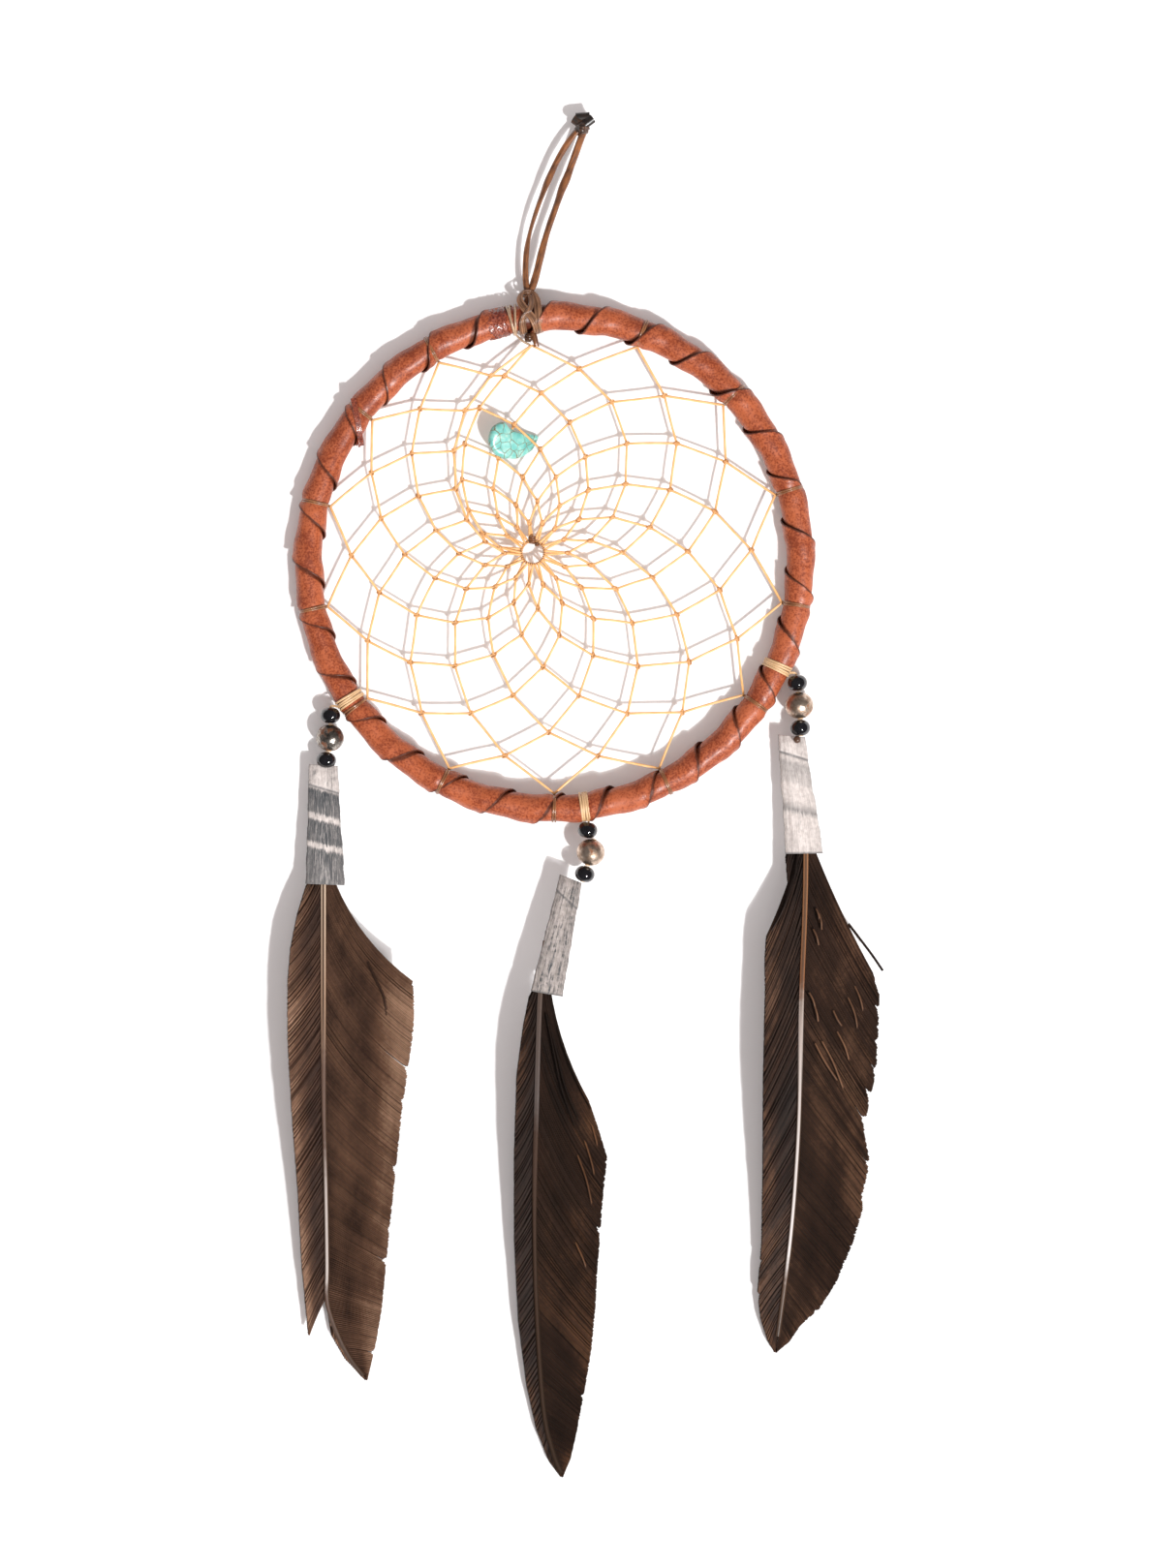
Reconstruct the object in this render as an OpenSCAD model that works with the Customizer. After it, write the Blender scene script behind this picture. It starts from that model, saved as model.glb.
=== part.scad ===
// Dream catcher: a leather-wrapped hoop with a woven sinew web, a threaded
// stone, a hanging loop and three pendants of beads, a hide sleeve and a feather.
// The hoop stands in the XZ plane, +Z is up, and the front faces -Y.
// The origin is the inside top of the hanging loop, where a nail goes.

/* [Hoop] */
// Outside diameter of the metal ring inside the wrap
ring_od = 101.6; // [95:0.1:110]
// Diameter of the ring's wire
wire_d = 3; // [2.5:0.1:3.4]
// Thickness of the leather on the wire
leather_t = 1.15; // [1:0.05:1.3]
// Distance from the nail to the hoop's centre, straight down
hoop_drop = 86.2; // [84:0.1:90]
// How far the hoop's centre sits left of the nail
hoop_left = 5.2; // [4:0.1:6]

/* [Web] */
// Diameter of the waxed sinew strand
strand_d = 0.62; // [0.5:0.02:0.7]
// Strand circle of a hitch, measured in from the wire's centreline
hitch_in = 3; // [2.9:0.05:3.2]
// Hub of the web, to the left of the hoop's centre
hub_left = 4.3; // [0:0.1:6]
// Hub of the web, above the hoop's centre
hub_up = 2; // [0:0.1:4]
// Radius of the closed hole at the hub
hub_r = 2.35; // [2:0.05:2.6]
// Where a hitch grips the strand it hangs on, as a share of its length
grip = 0.494; // [0.45:0.002:0.55]

/* [Stone] */
// Thickness of the turquoise chip
stone_t = 2.2; // [2:0.1:2.4]
// How far the chip has turned back on its strand at rest
stone_turn = 30; // [28:1:40]

/* [Hanging loop] */
// Diameter of the loop's cord
cord_d = 1.1; // [0.9:0.05:1.2]
// Hoop angle of the lark's head, clockwise from the top
head_angle = -5.8; // [-7:0.1:-5]

/* [Pendants] */
// Radius of a glass bead
bead_r = 2; // [1.8:0.05:2.05]
// Half the height of a glass bead
bead_half = 1.65; // [1.5:0.05:1.7]
// Radius of a metal bead
metal_r = 2.75; // [2.5:0.05:2.78]
// Thickness of a hide sleeve
sleeve_t = 2.6; // [2.4:0.1:3]
// Thickness of a feather's vane
vane_t = 0.5; // [0.4:0.05:0.8]

/* [Hidden] */
$fn = 72;
ring_r = (ring_od - wire_d) / 2;
tube_r = wire_d / 2 + leather_t;
slip = 0.02;
skin_gap = 0.05;
hoop_at = [-hoop_left, 0, -hoop_drop];

// The wrap's two ends meet here, under the glued end of the strip.
seam_angle = -13;
seam_gap = 3;
end_half = 1.9;
end_t = 0.3;
tail_angle = -59;
tail_size = [2.6, 1.2, 2.6];

// The web is one strand. It makes fourteen hitches on the hoop, going round
// anticlockwise from the top, comes back to the top, and then hitches each
// further node on the strand one round further out.
hitch_angles = [-6, -30, -52, -76, -101, -126, -153, -180, -207, -235, -260, -287, -313, -339];
round_nodes = len(hitch_angles) + 1;
// Share of its distance from the hub that each round keeps
round_pull = [0.89, 0.885, 0.84, 0.8, 0.76, 0.68, 0.6];
// The last node of a round closes up on the first one
closing_grip = 0.7;
closing_pull = 0.95;
top_in = 5.5;
strand_knot_d = 1;
spoke_w = 1;
hub_at = [-hub_left, hub_up];
hub_wall = 0.7;
hub_knot_r = 0.9;

// The strand starts in two turns beside the lark's head.
start_angles = [-9.4, -10.3];
start_in = 4.9;

// The lark's head: a collar of cord on the hoop and a neck that the legs leave.
head_gap = 0.3;
head_wall = 0.8;
head_half = 2;
neck_r = 1.2;
neck_rise = 5.2;
neck_foot = 3.3;

// Routes of the loop's two legs, from the neck up to the knot.
left_leg = [
    [-10.9, -30.1], [-11, -27.6], [-10.9, -25], [-10.6, -22.5], [-10.1, -20],
    [-9.4, -17.5], [-8.6, -15.1], [-7.7, -12.7], [-6.8, -10.4], [-5.8, -8.1],
    [-4.8, -5.9], [-3.7, -3.9], [-2.6, -2.2], [-1.5, -0.7], [-0.5, 0.5]
];
right_leg = [
    [-9.1, -30], [-8.6, -27.7], [-8.1, -25.3], [-7.5, -22.9], [-6.8, -20.5],
    [-6, -18.1], [-5.2, -15.8], [-4.4, -13.5], [-3.6, -11.2], [-2.7, -9],
    [-1.9, -6.8], [-1.1, -4.7], [-0.4, -2.8], [0.2, -1.1], [0.8, 0.6]
];
leg_sides = 8;
knot_balls = [[0.4, 1.9, 1.7], [1.6, 2.8, 1.3], [-0.7, 3, 1]];

// The stone hangs on the strand between these two nodes of the web. Its
// outline is [across, along] the strand, from the middle of the bore.
stone_nodes = [58, 73];
stone_down = 3.25;
stone_outline = [
    [-4.3, 0], [-3.9, -1.4], [-3, -2.3], [-1.8, -2.2], [0, -2], [1.8, -2],
    [3.6, -2.7], [5, -2.6], [5.4, -1.9], [5.1, 0], [4.3, 1.3], [2.8, 2.4],
    [1, 3], [-0.5, 3.3], [-1.9, 3.1], [-3.3, 2.4], [-4.1, 1.4]
];
stone_bore_r = 0.7;

// Each pendant, in this order: angle of its tie on the hoop, upper bead, metal
// bead and lower bead as [x, z, lean], sleeve corners from the top left
// clockwise, stations of the feather as [z, left x, quill x, right x].
tie_half = 0.8;
tie_t = 0.3;
bore_r = 0.6;
cord_r = 0.55;
bead_gap = 0.02;
seat_gap = 0.25;
slot_t = 1.4;
sleeve_wall = 0.7;
sleeve_roof = 3;
quill_r = 0.6;
quill_tip_r = 0.3;
quill_in = 14;
left_pendant = [
    236.2,
    [-50.1, -116.85, 1], [-50.2, -121.35, 5], [-50.9, -125.8, 5],
    [[-54.3, -126.6], [-48.7, -127], [-47.2, -150.9], [-55.1, -150.6]],
    [
        [-149, -54, -51.5, -48], [-156, -56.7, -51.5, -45.5], [-164, -58, -51.5, -40.5],
        [-171, -58.6, -51.5, -33], [-180, -58.5, -51.5, -33.4], [-196, -57.7, -51.5, -35.7],
        [-212, -56.5, -51, -37.4], [-227, -55.7, -50.7, -38.9], [-236, -55, -49.6, -39.8],
        [-243, -50.4, -47, -41], [-247.3, -45.8, -44.9, -42], [-250, -43.2, -42.9, -42.6]
    ]
];
middle_pendant = [
    172.9,
    [1.45, -139.85, 8], [2.1, -144.3, 14], [0.9, -148.65, 15],
    [[-4, -148.4], [0.3, -150.1], [-3.6, -173.2], [-10, -172.1]],
    [
        [-170.5, -9.2, -6.6, -4.4], [-178, -10.9, -7.8, -3.2], [-186, -12.5, -8.6, -1.7],
        [-194, -12.8, -8.9, 1.4], [-202, -13, -9, 4.4], [-210, -13.2, -9.1, 4.6],
        [-226, -13.2, -8.8, 3.3], [-242, -12, -8.3, 1.8], [-250, -11, -7.9, 0.6],
        [-258, -9.4, -7, -0.6], [-265.5, -6.2, -5, -1.8], [-269.5, -3.6, -3.5, -3.3]
    ]
];
right_pendant = [
    115.1,
    [43.5, -110.35, -6], [43.9, -114.85, -5], [44.1, -119.35, -3],
    [[39.7, -120.7], [45, -121.2], [48.7, -144.5], [41.1, -144.6]],
    [
        [-142.5, 42, 44.6, 48.2], [-150, 41.8, 44.7, 49.9], [-158, 38.8, 44.6, 53.8],
        [-166, 37.2, 44.4, 57.3], [-174, 37.1, 44.3, 59.9], [-182, 37, 44.1, 59.4],
        [-198, 36.8, 43.8, 57.2], [-214, 36.6, 43.1, 56.3], [-222, 36.3, 42.4, 55],
        [-230, 35.9, 41.3, 50.4], [-238, 35.9, 40.2, 44.8], [-244.8, 39, 39.3, 39.6]
    ]
];
right_knot_at = [43.4, -1.75, -121.7];
right_knot_r = 0.75;

leather_brown = "sienna";
sinew_gold = "goldenrod";
cord_brown = "saddlebrown";
steel = "gray";
feather_brown = "dimgray";

// ---- Places ----

// A point of the hoop's plane, from its angle and its distance from the centre
function on_circle(angle, r) = [r * sin(angle), r * cos(angle)];

// The rest of the web, one node after another
function weave(p) =
    let (n = len(p), turn = floor(n / round_nodes) - 1)
    turn >= len(round_pull) ? p :
    let (
        closing = n % round_nodes == round_nodes - 1,
        share = closing ? closing_grip : grip,
        pull = closing ? closing_pull : round_pull[turn],
        on = (1 - share) * p[n - round_nodes] + share * p[n - round_nodes + 1]
    )
    weave(concat(p, [hub_at + pull * (on - hub_at)]));

hoop_hitches = [
    for (i = [0 : len(hitch_angles)])
        on_circle(hitch_angles[i % len(hitch_angles)],
                  ring_r - (i % len(hitch_angles) == 0 ? top_in : hitch_in))
];
web_nodes = weave(hoop_hitches);
last_round = len(web_nodes) - round_nodes;

module in_hoop_plane(t) {
    rotate([90, 0, 0])
        linear_extrude(height = t, center = true)
            children();
}

module at_hoop_centre() {
    translate(hoop_at)
        children();
}

// X along the tube, Z outwards, at the wire's centreline or r_in inside it
module on_tube(angle, r_in = 0) {
    at_hoop_centre()
        rotate([0, angle, 0])
            translate([0, 0, ring_r - r_in])
                children();
}

// X turned into Z, for a piece that lies along X
module along_x() {
    rotate([0, 90, 0])
        children();
}

// A bead's own frame: Z along its cord
module at_bead(place) {
    translate([place[0], 0, place[1]])
        rotate([0, place[2], 0])
            children();
}

// ---- Shapes used more than once ----

module band_on_tube(wire_r, at_r) {
    along_x()
        rotate_extrude()
            translate([at_r, 0])
                circle(r = wire_r);
}

module sleeve_on_tube(half, inner_r, outer_r) {
    along_x()
        difference() {
            cylinder(r = outer_r, h = 2 * half, center = true);
            cylinder(r = inner_r, h = 3 * half, center = true);
        }
}

// A flat strand between two points of the plane
module strand(a, b, w = strand_d) {
    way = b - a;
    translate(a)
        rotate(atan2(way[1], way[0]))
            translate([0, -w / 2])
                square([norm(way), w]);
}

// A round rod between two points of the XZ plane
module rod(a, b, r) {
    way = b - a;
    translate([a[0], 0, a[1]])
        rotate([0, atan2(way[0], way[1]), 0])
            cylinder(r = r, h = norm(way));
}

// Directions along a route of the XZ plane, one for each of its points
function heading(route, i) =
    let (way = route[min(i + 1, len(route) - 1)] - route[max(i - 1, 0)])
    way / norm(way);

// A cord or a quill swept along a route of the XZ plane, from radius ra to rb
module swept_cord(route, ra, rb) {
    n = len(route);
    rings = [
        for (i = [0 : n - 1], k = [0 : leg_sides - 1])
            let (h = heading(route, i), a = 360 * k / leg_sides, r = ra + (rb - ra) * i / (n - 1))
            [route[i][0] + r * cos(a) * h[1], r * sin(a), route[i][1] - r * cos(a) * h[0]]
    ];
    walls = [
        for (i = [0 : n - 2], k = [0 : leg_sides - 1])
            let (next = (k + 1) % leg_sides)
            [i * leg_sides + k, (i + 1) * leg_sides + k,
             (i + 1) * leg_sides + next, i * leg_sides + next]
    ];
    first = [for (k = [0 : leg_sides - 1]) k];
    last = [for (k = [leg_sides - 1 : -1 : 0]) (n - 1) * leg_sides + k];
    polyhedron(points = rings, faces = concat(walls, [first, last]));
}

// ---- Hoop ----

module ring_core() {
    color(steel)
        at_hoop_centre()
            rotate([90, 0, 0])
                rotate_extrude()
                    translate([ring_r, 0])
                        circle(r = wire_d / 2 - slip);
}

module leather_wrap() {
    color(leather_brown)
        at_hoop_centre()
            rotate([0, seam_angle - 90 - seam_gap / 2, 0])
                rotate([90, 0, 0])
                    rotate_extrude(angle = 360 - seam_gap)
                        translate([ring_r, 0])
                            difference() {
                                circle(r = tube_r);
                                circle(r = wire_d / 2);
                            }
}

module leather_end() {
    color(leather_brown)
        on_tube(seam_angle)
            sleeve_on_tube(end_half, tube_r + skin_gap, tube_r + skin_gap + end_t);
}

module wrap_tail() {
    color(leather_brown)
        on_tube(tail_angle, tube_r + skin_gap + tail_size[2] / 2)
            cube([tail_size[0], tail_size[1], tail_size[2]], center = true);
}

// ---- Web ----

module web_outline() {
    for (i = [0 : last_round - 1]) {
        strand(web_nodes[i], web_nodes[i + round_nodes]);
        strand(web_nodes[i + round_nodes], web_nodes[i + 1]);
    }
    for (i = [round_nodes : len(web_nodes) - 1])
        translate(web_nodes[i])
            circle(d = strand_knot_d, $fn = 8);
    for (i = [last_round : len(web_nodes) - 1]) {
        out = web_nodes[i] - hub_at;
        strand(hub_at + out * hub_r / norm(out), web_nodes[i], spoke_w);
    }
}

module web() {
    color(sinew_gold)
        at_hoop_centre()
            in_hoop_plane(strand_d)
                difference() {
                    union() {
                        web_outline();
                        translate(hub_at)
                            circle(r = hub_r + hub_wall, $fn = 12);
                    }
                    translate(hub_at)
                        circle(r = hub_r, $fn = 12);
                }
}

module web_hitches() {
    color(sinew_gold)
        for (i = [1 : len(hitch_angles) - 1])
            on_tube(hitch_angles[i])
                band_on_tube(strand_d / 2, hitch_in);
}

module start_turns() {
    inner = on_circle(start_angles[0], ring_r - hitch_in);
    corner = on_circle(start_angles[0], ring_r - start_in);
    color(sinew_gold) {
        for (angle = start_angles)
            on_tube(angle)
                band_on_tube(strand_d / 2, hitch_in);
        at_hoop_centre() {
            rod(inner, corner, strand_d / 2);
            rod(corner, web_nodes[0], strand_d / 2);
            translate([corner[0], 0, corner[1]])
                sphere(r = strand_d);
        }
    }
}

module hub_knot() {
    color(cord_brown)
        at_hoop_centre()
            translate([hub_at[0], 0, hub_at[1] + hub_r - hub_knot_r / 2])
                sphere(r = hub_knot_r);
}

module stone() {
    top = web_nodes[stone_nodes[0]];
    down = web_nodes[stone_nodes[1]] - top;
    way = down / norm(down);
    middle = top + stone_down * way;
    lean = atan2(way[0], way[1]);
    color("turquoise")
        at_hoop_centre()
            translate([middle[0], 0, middle[1]])
                rotate([0, lean, 0])
                    rotate([0, 0, -stone_turn])
                        difference() {
                            rotate([90, 0, 0])
                                linear_extrude(height = stone_t, center = true)
                                    mirror([1, 0])
                                        polygon(stone_outline);
                            cylinder(r = stone_bore_r, h = 10, center = true);
                        }
}

// ---- Hanging loop ----

module larks_head() {
    color(cord_brown)
        on_tube(head_angle) {
            difference() {
                union() {
                    sleeve_on_tube(head_half, tube_r + head_gap, tube_r + head_gap + head_wall);
                    translate([0, 0, neck_foot])
                        cylinder(r = neck_r, h = neck_rise - neck_foot);
                    translate([0, 0, neck_rise])
                        sphere(r = neck_r);
                }
                along_x()
                    cylinder(r = tube_r + head_gap, h = 3 * head_half, center = true);
            }
        }
}

module loop_leg_left() {
    color(cord_brown)
        swept_cord(left_leg, cord_d / 2, cord_d / 2);
}

module loop_leg_right() {
    color(cord_brown)
        swept_cord(right_leg, cord_d / 2, cord_d / 2);
}

module loop_knot() {
    color(cord_brown)
        for (ball = knot_balls)
            translate([ball[0], 0, ball[1]])
                sphere(r = ball[2]);
}

// ---- Pendants ----

// Turns of sinew on the hoop, with the drop of cord that the upper bead is on
module tie(pendant) {
    bead = pendant[1];
    color(sinew_gold)
        difference() {
            union() {
                on_tube(pendant[0])
                    along_x()
                        cylinder(r = tube_r + skin_gap + tie_t, h = 2 * tie_half, center = true);
                at_bead(bead)
                    translate([0, 0, -bead_half])
                        cylinder(r = cord_r, h = 2 * bead_half + tie_t);
                at_bead(bead)
                    translate([0, 0, bead_half + tie_t])
                        sphere(r = cord_r);
            }
            on_tube(pendant[0])
                along_x()
                    cylinder(r = tube_r + skin_gap, h = 6 * tie_half, center = true);
        }
}

module glass_bead(place) {
    color("black")
        at_bead(place)
            rotate_extrude()
                difference() {
                    translate([bead_r - bead_half, 0])
                        circle(r = bead_half);
                    translate([-bead_r, -bead_r])
                        square([bead_r + bore_r, 2 * bead_r]);
                }
}

module metal_bead(place) {
    color(steel)
        at_bead(place)
            difference() {
                sphere(r = metal_r);
                cylinder(r = bore_r, h = 3 * metal_r, center = true);
            }
}

module bead_cord(place, half) {
    color(sinew_gold)
        at_bead(place)
            cylinder(r = cord_r, h = 2 * half, center = true);
}

module sleeve(pendant) {
    corner = pendant[4];
    bead = pendant[3];
    color("gainsboro")
        difference() {
            in_hoop_plane(sleeve_t)
                polygon(corner);
            in_hoop_plane(slot_t)
                polygon([
                    corner[0] + [sleeve_wall, -sleeve_roof],
                    corner[1] + [-sleeve_wall, -sleeve_roof],
                    corner[2] + [-sleeve_wall, -sleeve_wall],
                    corner[3] + [sleeve_wall, -sleeve_wall]
                ]);
            translate([bead[0], 0, bead[1]])
                sphere(r = bead_r + seat_gap);
        }
}

module quill(pendant) {
    corner = pendant[4];
    mouth = (corner[2] + corner[3]) / 2;
    roof = (corner[0] + corner[1]) / 2;
    start = mouth + (roof - mouth) * quill_in / norm(roof - mouth);
    route = concat([start], [for (s = pendant[5]) [s[2], s[0]]]);
    color("wheat")
        swept_cord(route, quill_r, quill_tip_r);
}

module vane(pendant) {
    stations = pendant[5];
    last = len(stations) - 1;
    color(feather_brown)
        in_hoop_plane(vane_t)
            polygon(concat(
                [for (s = stations) [s[1], s[0]]],
                [for (i = [last : -1 : 0]) [stations[i][3], stations[i][0]]]
            ));
}

module right_knot() {
    color(cord_brown)
        translate(right_knot_at)
            sphere(r = right_knot_r);
}

bead_cord_half = metal_r + bead_gap;
lower_cord_half = bead_half;

ring_core();
leather_wrap();
leather_end();
wrap_tail();
web();
web_hitches();
start_turns();
hub_knot();
stone();
larks_head();
loop_leg_left();
loop_leg_right();
loop_knot();
tie(left_pendant);  // left_tie
glass_bead(left_pendant[1]);  // left_upper_bead
metal_bead(left_pendant[2]);  // left_metal_bead
bead_cord(left_pendant[2], bead_cord_half);  // left_bead_cord
glass_bead(left_pendant[3]);  // left_lower_bead
bead_cord(left_pendant[3], lower_cord_half);  // left_lower_cord
sleeve(left_pendant);  // left_sleeve
quill(left_pendant);  // left_quill
vane(left_pendant);  // left_vane
tie(middle_pendant);  // middle_tie
glass_bead(middle_pendant[1]);  // middle_upper_bead
metal_bead(middle_pendant[2]);  // middle_metal_bead
bead_cord(middle_pendant[2], bead_cord_half);  // middle_bead_cord
glass_bead(middle_pendant[3]);  // middle_lower_bead
bead_cord(middle_pendant[3], lower_cord_half);  // middle_lower_cord
sleeve(middle_pendant);  // middle_sleeve
quill(middle_pendant);  // middle_quill
vane(middle_pendant);  // middle_vane
tie(right_pendant);  // right_tie
glass_bead(right_pendant[1]);  // right_upper_bead
metal_bead(right_pendant[2]);  // right_metal_bead
bead_cord(right_pendant[2], bead_cord_half);  // right_bead_cord
glass_bead(right_pendant[3]);  // right_lower_bead
bead_cord(right_pendant[3], lower_cord_half);  // right_lower_cord
sleeve(right_pendant);  // right_sleeve
quill(right_pendant);  // right_quill
vane(right_pendant);  // right_vane
right_knot();
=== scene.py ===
"""A dream catcher: leather-wrapped hoop, knotted sinew web, turquoise chip, hanging loop and three feather pendants."""

import logging
import math
from collections.abc import Sequence
from dataclasses import dataclass, field
from enum import Enum

import bmesh
import bpy
import numpy as np
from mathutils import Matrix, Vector


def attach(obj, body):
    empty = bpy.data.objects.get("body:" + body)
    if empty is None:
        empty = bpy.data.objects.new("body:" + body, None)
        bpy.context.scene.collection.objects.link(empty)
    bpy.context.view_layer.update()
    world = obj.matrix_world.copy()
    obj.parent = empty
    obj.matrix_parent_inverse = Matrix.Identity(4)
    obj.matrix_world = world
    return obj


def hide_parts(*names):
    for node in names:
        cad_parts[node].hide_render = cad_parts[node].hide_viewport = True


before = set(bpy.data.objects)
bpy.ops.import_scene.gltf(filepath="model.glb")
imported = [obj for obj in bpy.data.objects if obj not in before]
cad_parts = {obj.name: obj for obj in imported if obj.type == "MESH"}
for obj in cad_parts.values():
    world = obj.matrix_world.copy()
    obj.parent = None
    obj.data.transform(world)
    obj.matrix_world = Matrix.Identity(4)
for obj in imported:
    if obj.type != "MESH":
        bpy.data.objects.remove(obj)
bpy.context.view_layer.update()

MM = 0.001
TURN = 2 * math.pi
LOG = logging.getLogger("dream_catcher")

NUMBER = "NodeSocketFloat"
VECTOR = "NodeSocketVector"
COUNT = "NodeSocketInt"
SHAPE = "NodeSocketGeometry"
STUFF = "NodeSocketMaterial"
FINE = 900.0  # noise cells in a metre, for patterns about a millimetre across
FACING_LEAN = 0.2  # how far each barb's flat side turns from the front
BARB_WIDTH = 0.52
SHORT_ROUTE = 3  # a loose strand given by three points is a short pale speck; longer ones are darker

Point = tuple[float, float]
Colour = tuple[float, float, float]


class Side(Enum):
    """The three pendants, by their place on the hoop."""

    LEFT = "left"
    MIDDLE = "middle"
    RIGHT = "right"


# ---- node trees


class Wire:
    """A value in a node tree. Arithmetic on it adds Math nodes to the tree."""

    def __init__(self, tree: bpy.types.NodeTree, socket: bpy.types.NodeSocket) -> None:
        """Hold one output socket of a tree."""
        self.tree = tree
        self.socket = socket

    def math(self, kind: str, *others: "Wire | float") -> "Wire":
        """Add one Math node.

        Args:
            kind: the node's operation.
            others: the operands after this one.

        Returns:
            The node's value.
        """
        node = self.tree.nodes.new("ShaderNodeMath")
        node.operation = kind
        for place, value in enumerate((self, *others)):
            feed(self.tree, node.inputs[place], value)
        return Wire(self.tree, node.outputs[0])

    def __add__(self, other: "Wire | float") -> "Wire":
        """Add."""
        return self.math("ADD", other)

    def __sub__(self, other: "Wire | float") -> "Wire":
        """Subtract."""
        return self.math("SUBTRACT", other)

    def __mul__(self, other: "Wire | float") -> "Wire":
        """Multiply."""
        return self.math("MULTIPLY", other)

    def __truediv__(self, other: "Wire | float") -> "Wire":
        """Divide."""
        return self.math("DIVIDE", other)

    __radd__ = __add__
    __rmul__ = __mul__


def feed(tree: bpy.types.NodeTree, socket: bpy.types.NodeSocket, value: object) -> None:
    """Link a wire to a socket, or set the socket's own value.

    Args:
        tree: the tree that holds both.
        socket: the input socket.
        value: a Wire, a number, a colour, a vector or a material.
    """
    if isinstance(value, Wire):
        tree.links.new(value.socket, socket)
    elif isinstance(value, tuple) and len(value) == 3 and socket.type == "RGBA":
        socket.default_value = (*value, 1.0)
    else:
        socket.default_value = value


@dataclass
class Bench:
    """A node tree that is being built."""

    tree: bpy.types.NodeTree

    @classmethod
    def open(
        cls, name: str, inputs: dict[str, str], outputs: dict[str, str], kind: str = "ShaderNodeTree"
    ) -> tuple["Bench", list[Wire]]:
        """Open a new node group.

        Args:
            name: its name.
            inputs: socket kinds by input name.
            outputs: socket kinds by output name.
            kind: its type name.

        Returns:
            Its bench, and its inputs as wires.
        """
        tree = bpy.data.node_groups.new(name, kind)
        for way, sockets in (("INPUT", inputs), ("OUTPUT", outputs)):
            for label, socket in sockets.items():
                tree.interface.new_socket(label, in_out=way, socket_type=socket)
        way_in = tree.nodes.new("NodeGroupInput")
        return cls(tree), [Wire(tree, way_in.outputs[label]) for label in inputs]

    def close(self, **wires: Wire) -> bpy.types.NodeTree:
        """Link wires to the group's outputs by name, and give the finished group."""
        way_out = self.tree.nodes.new("NodeGroupOutput")
        for label, wire in wires.items():
            self.put(wire, way_out, label)
        return self.tree

    def add(self, kind: str, inputs: dict | None = None, out: int | str = 0, **settings: object) -> Wire:
        """Add a node.

        Args:
            kind: the node's type name.
            inputs: values or wires by input name or place.
            out: the output wanted, by place or name.
            settings: the node's own properties.

        Returns:
            The wanted output.
        """
        node = self.tree.nodes.new(kind)
        for name, value in settings.items():
            setattr(node, name, value)
        for key, value in (inputs or {}).items():
            feed(self.tree, node.inputs[key], value)
        return Wire(self.tree, node.outputs[out])

    def put(self, wire: Wire, node: bpy.types.Node, socket: str | int) -> None:
        """Link a wire to a node's input."""
        self.tree.links.new(wire.socket, node.inputs[socket])

    def attribute(self, name: str) -> Wire:
        """Read a number that the mesh carries under a name."""
        return self.add("ShaderNodeAttribute", out="Fac", attribute_name=name)

    def here(self) -> Wire:
        """Read Object coordinates."""
        return self.add("ShaderNodeTexCoord", out="Object")

    def noise(self, vector: Wire | None, scale: float | Wire, detail: float = 3.0, rough: float = 0.55) -> Wire:
        """Add a Noise Texture and return its value."""
        inputs = {"Scale": scale, "Detail": detail, "Roughness": rough}
        if vector is not None:
            inputs["Vector"] = vector
        return self.add("ShaderNodeTexNoise", inputs)

    def span(
        self, value: Wire, low: Wire | float, high: Wire | float, to_low: float = 0.0, to_high: float = 1.0
    ) -> Wire:
        """Map a range smoothly onto another."""
        ends = {"Value": value, 1: low, 2: high, 3: to_low, 4: to_high}
        return self.add("ShaderNodeMapRange", ends, interpolation_type="SMOOTHSTEP")

    def join(self, x: Wire | float, y: Wire | float, z: Wire | float) -> Wire:
        """Make a vector of three values."""
        return self.add("ShaderNodeCombineXYZ", {0: x, 1: y, 2: z})

    def stretched(self, vector: Wire, scale: tuple[float, float, float]) -> Wire:
        """Scale a vector along its axes."""
        return self.add("ShaderNodeVectorMath", {0: vector, 1: scale}, operation="MULTIPLY")

    def blend(self, share: Wire | float, first: object, second: object) -> Wire:
        """Mix two colours."""
        return self.add("ShaderNodeMix", {0: share, 6: first, 7: second}, out=2, data_type="RGBA")

    def ramp(self, share: Wire, stops: Sequence[tuple[float, Colour]]) -> Wire:
        """Colour a value by a row of stops."""
        node = self.tree.nodes.new("ShaderNodeValToRGB")
        marks = node.color_ramp.elements
        while len(marks) < len(stops):
            marks.new(0.5)
        for mark, (place, colour) in zip(marks, stops):
            mark.position = place
            mark.color = (*colour, 1.0)
        self.put(share, node, 0)
        return Wire(self.tree, node.outputs[0])

    def bump(self, height: Wire, distance: float, strength: float = 1.0) -> Wire:
        """Turn a height, in metres once multiplied by the distance, into a normal."""
        return self.add("ShaderNodeBump", {"Height": height, "Distance": distance, "Strength": strength}, out="Normal")

    def close_shape(self, shape: Wire, stuff: Wire) -> bpy.types.NodeTree:
        """Smooth a Geometry Nodes shape, make it real, give it its material and close its tree."""
        smooth = self.add("GeometryNodeSetShadeSmooth", {"Geometry": shape, "Shade Smooth": True})
        solid = self.add("GeometryNodeRealizeInstances", {"Geometry": smooth})
        dressed = self.add("GeometryNodeSetMaterial", {"Geometry": solid, "Material": stuff})
        return self.close(Geometry=dressed)


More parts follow.
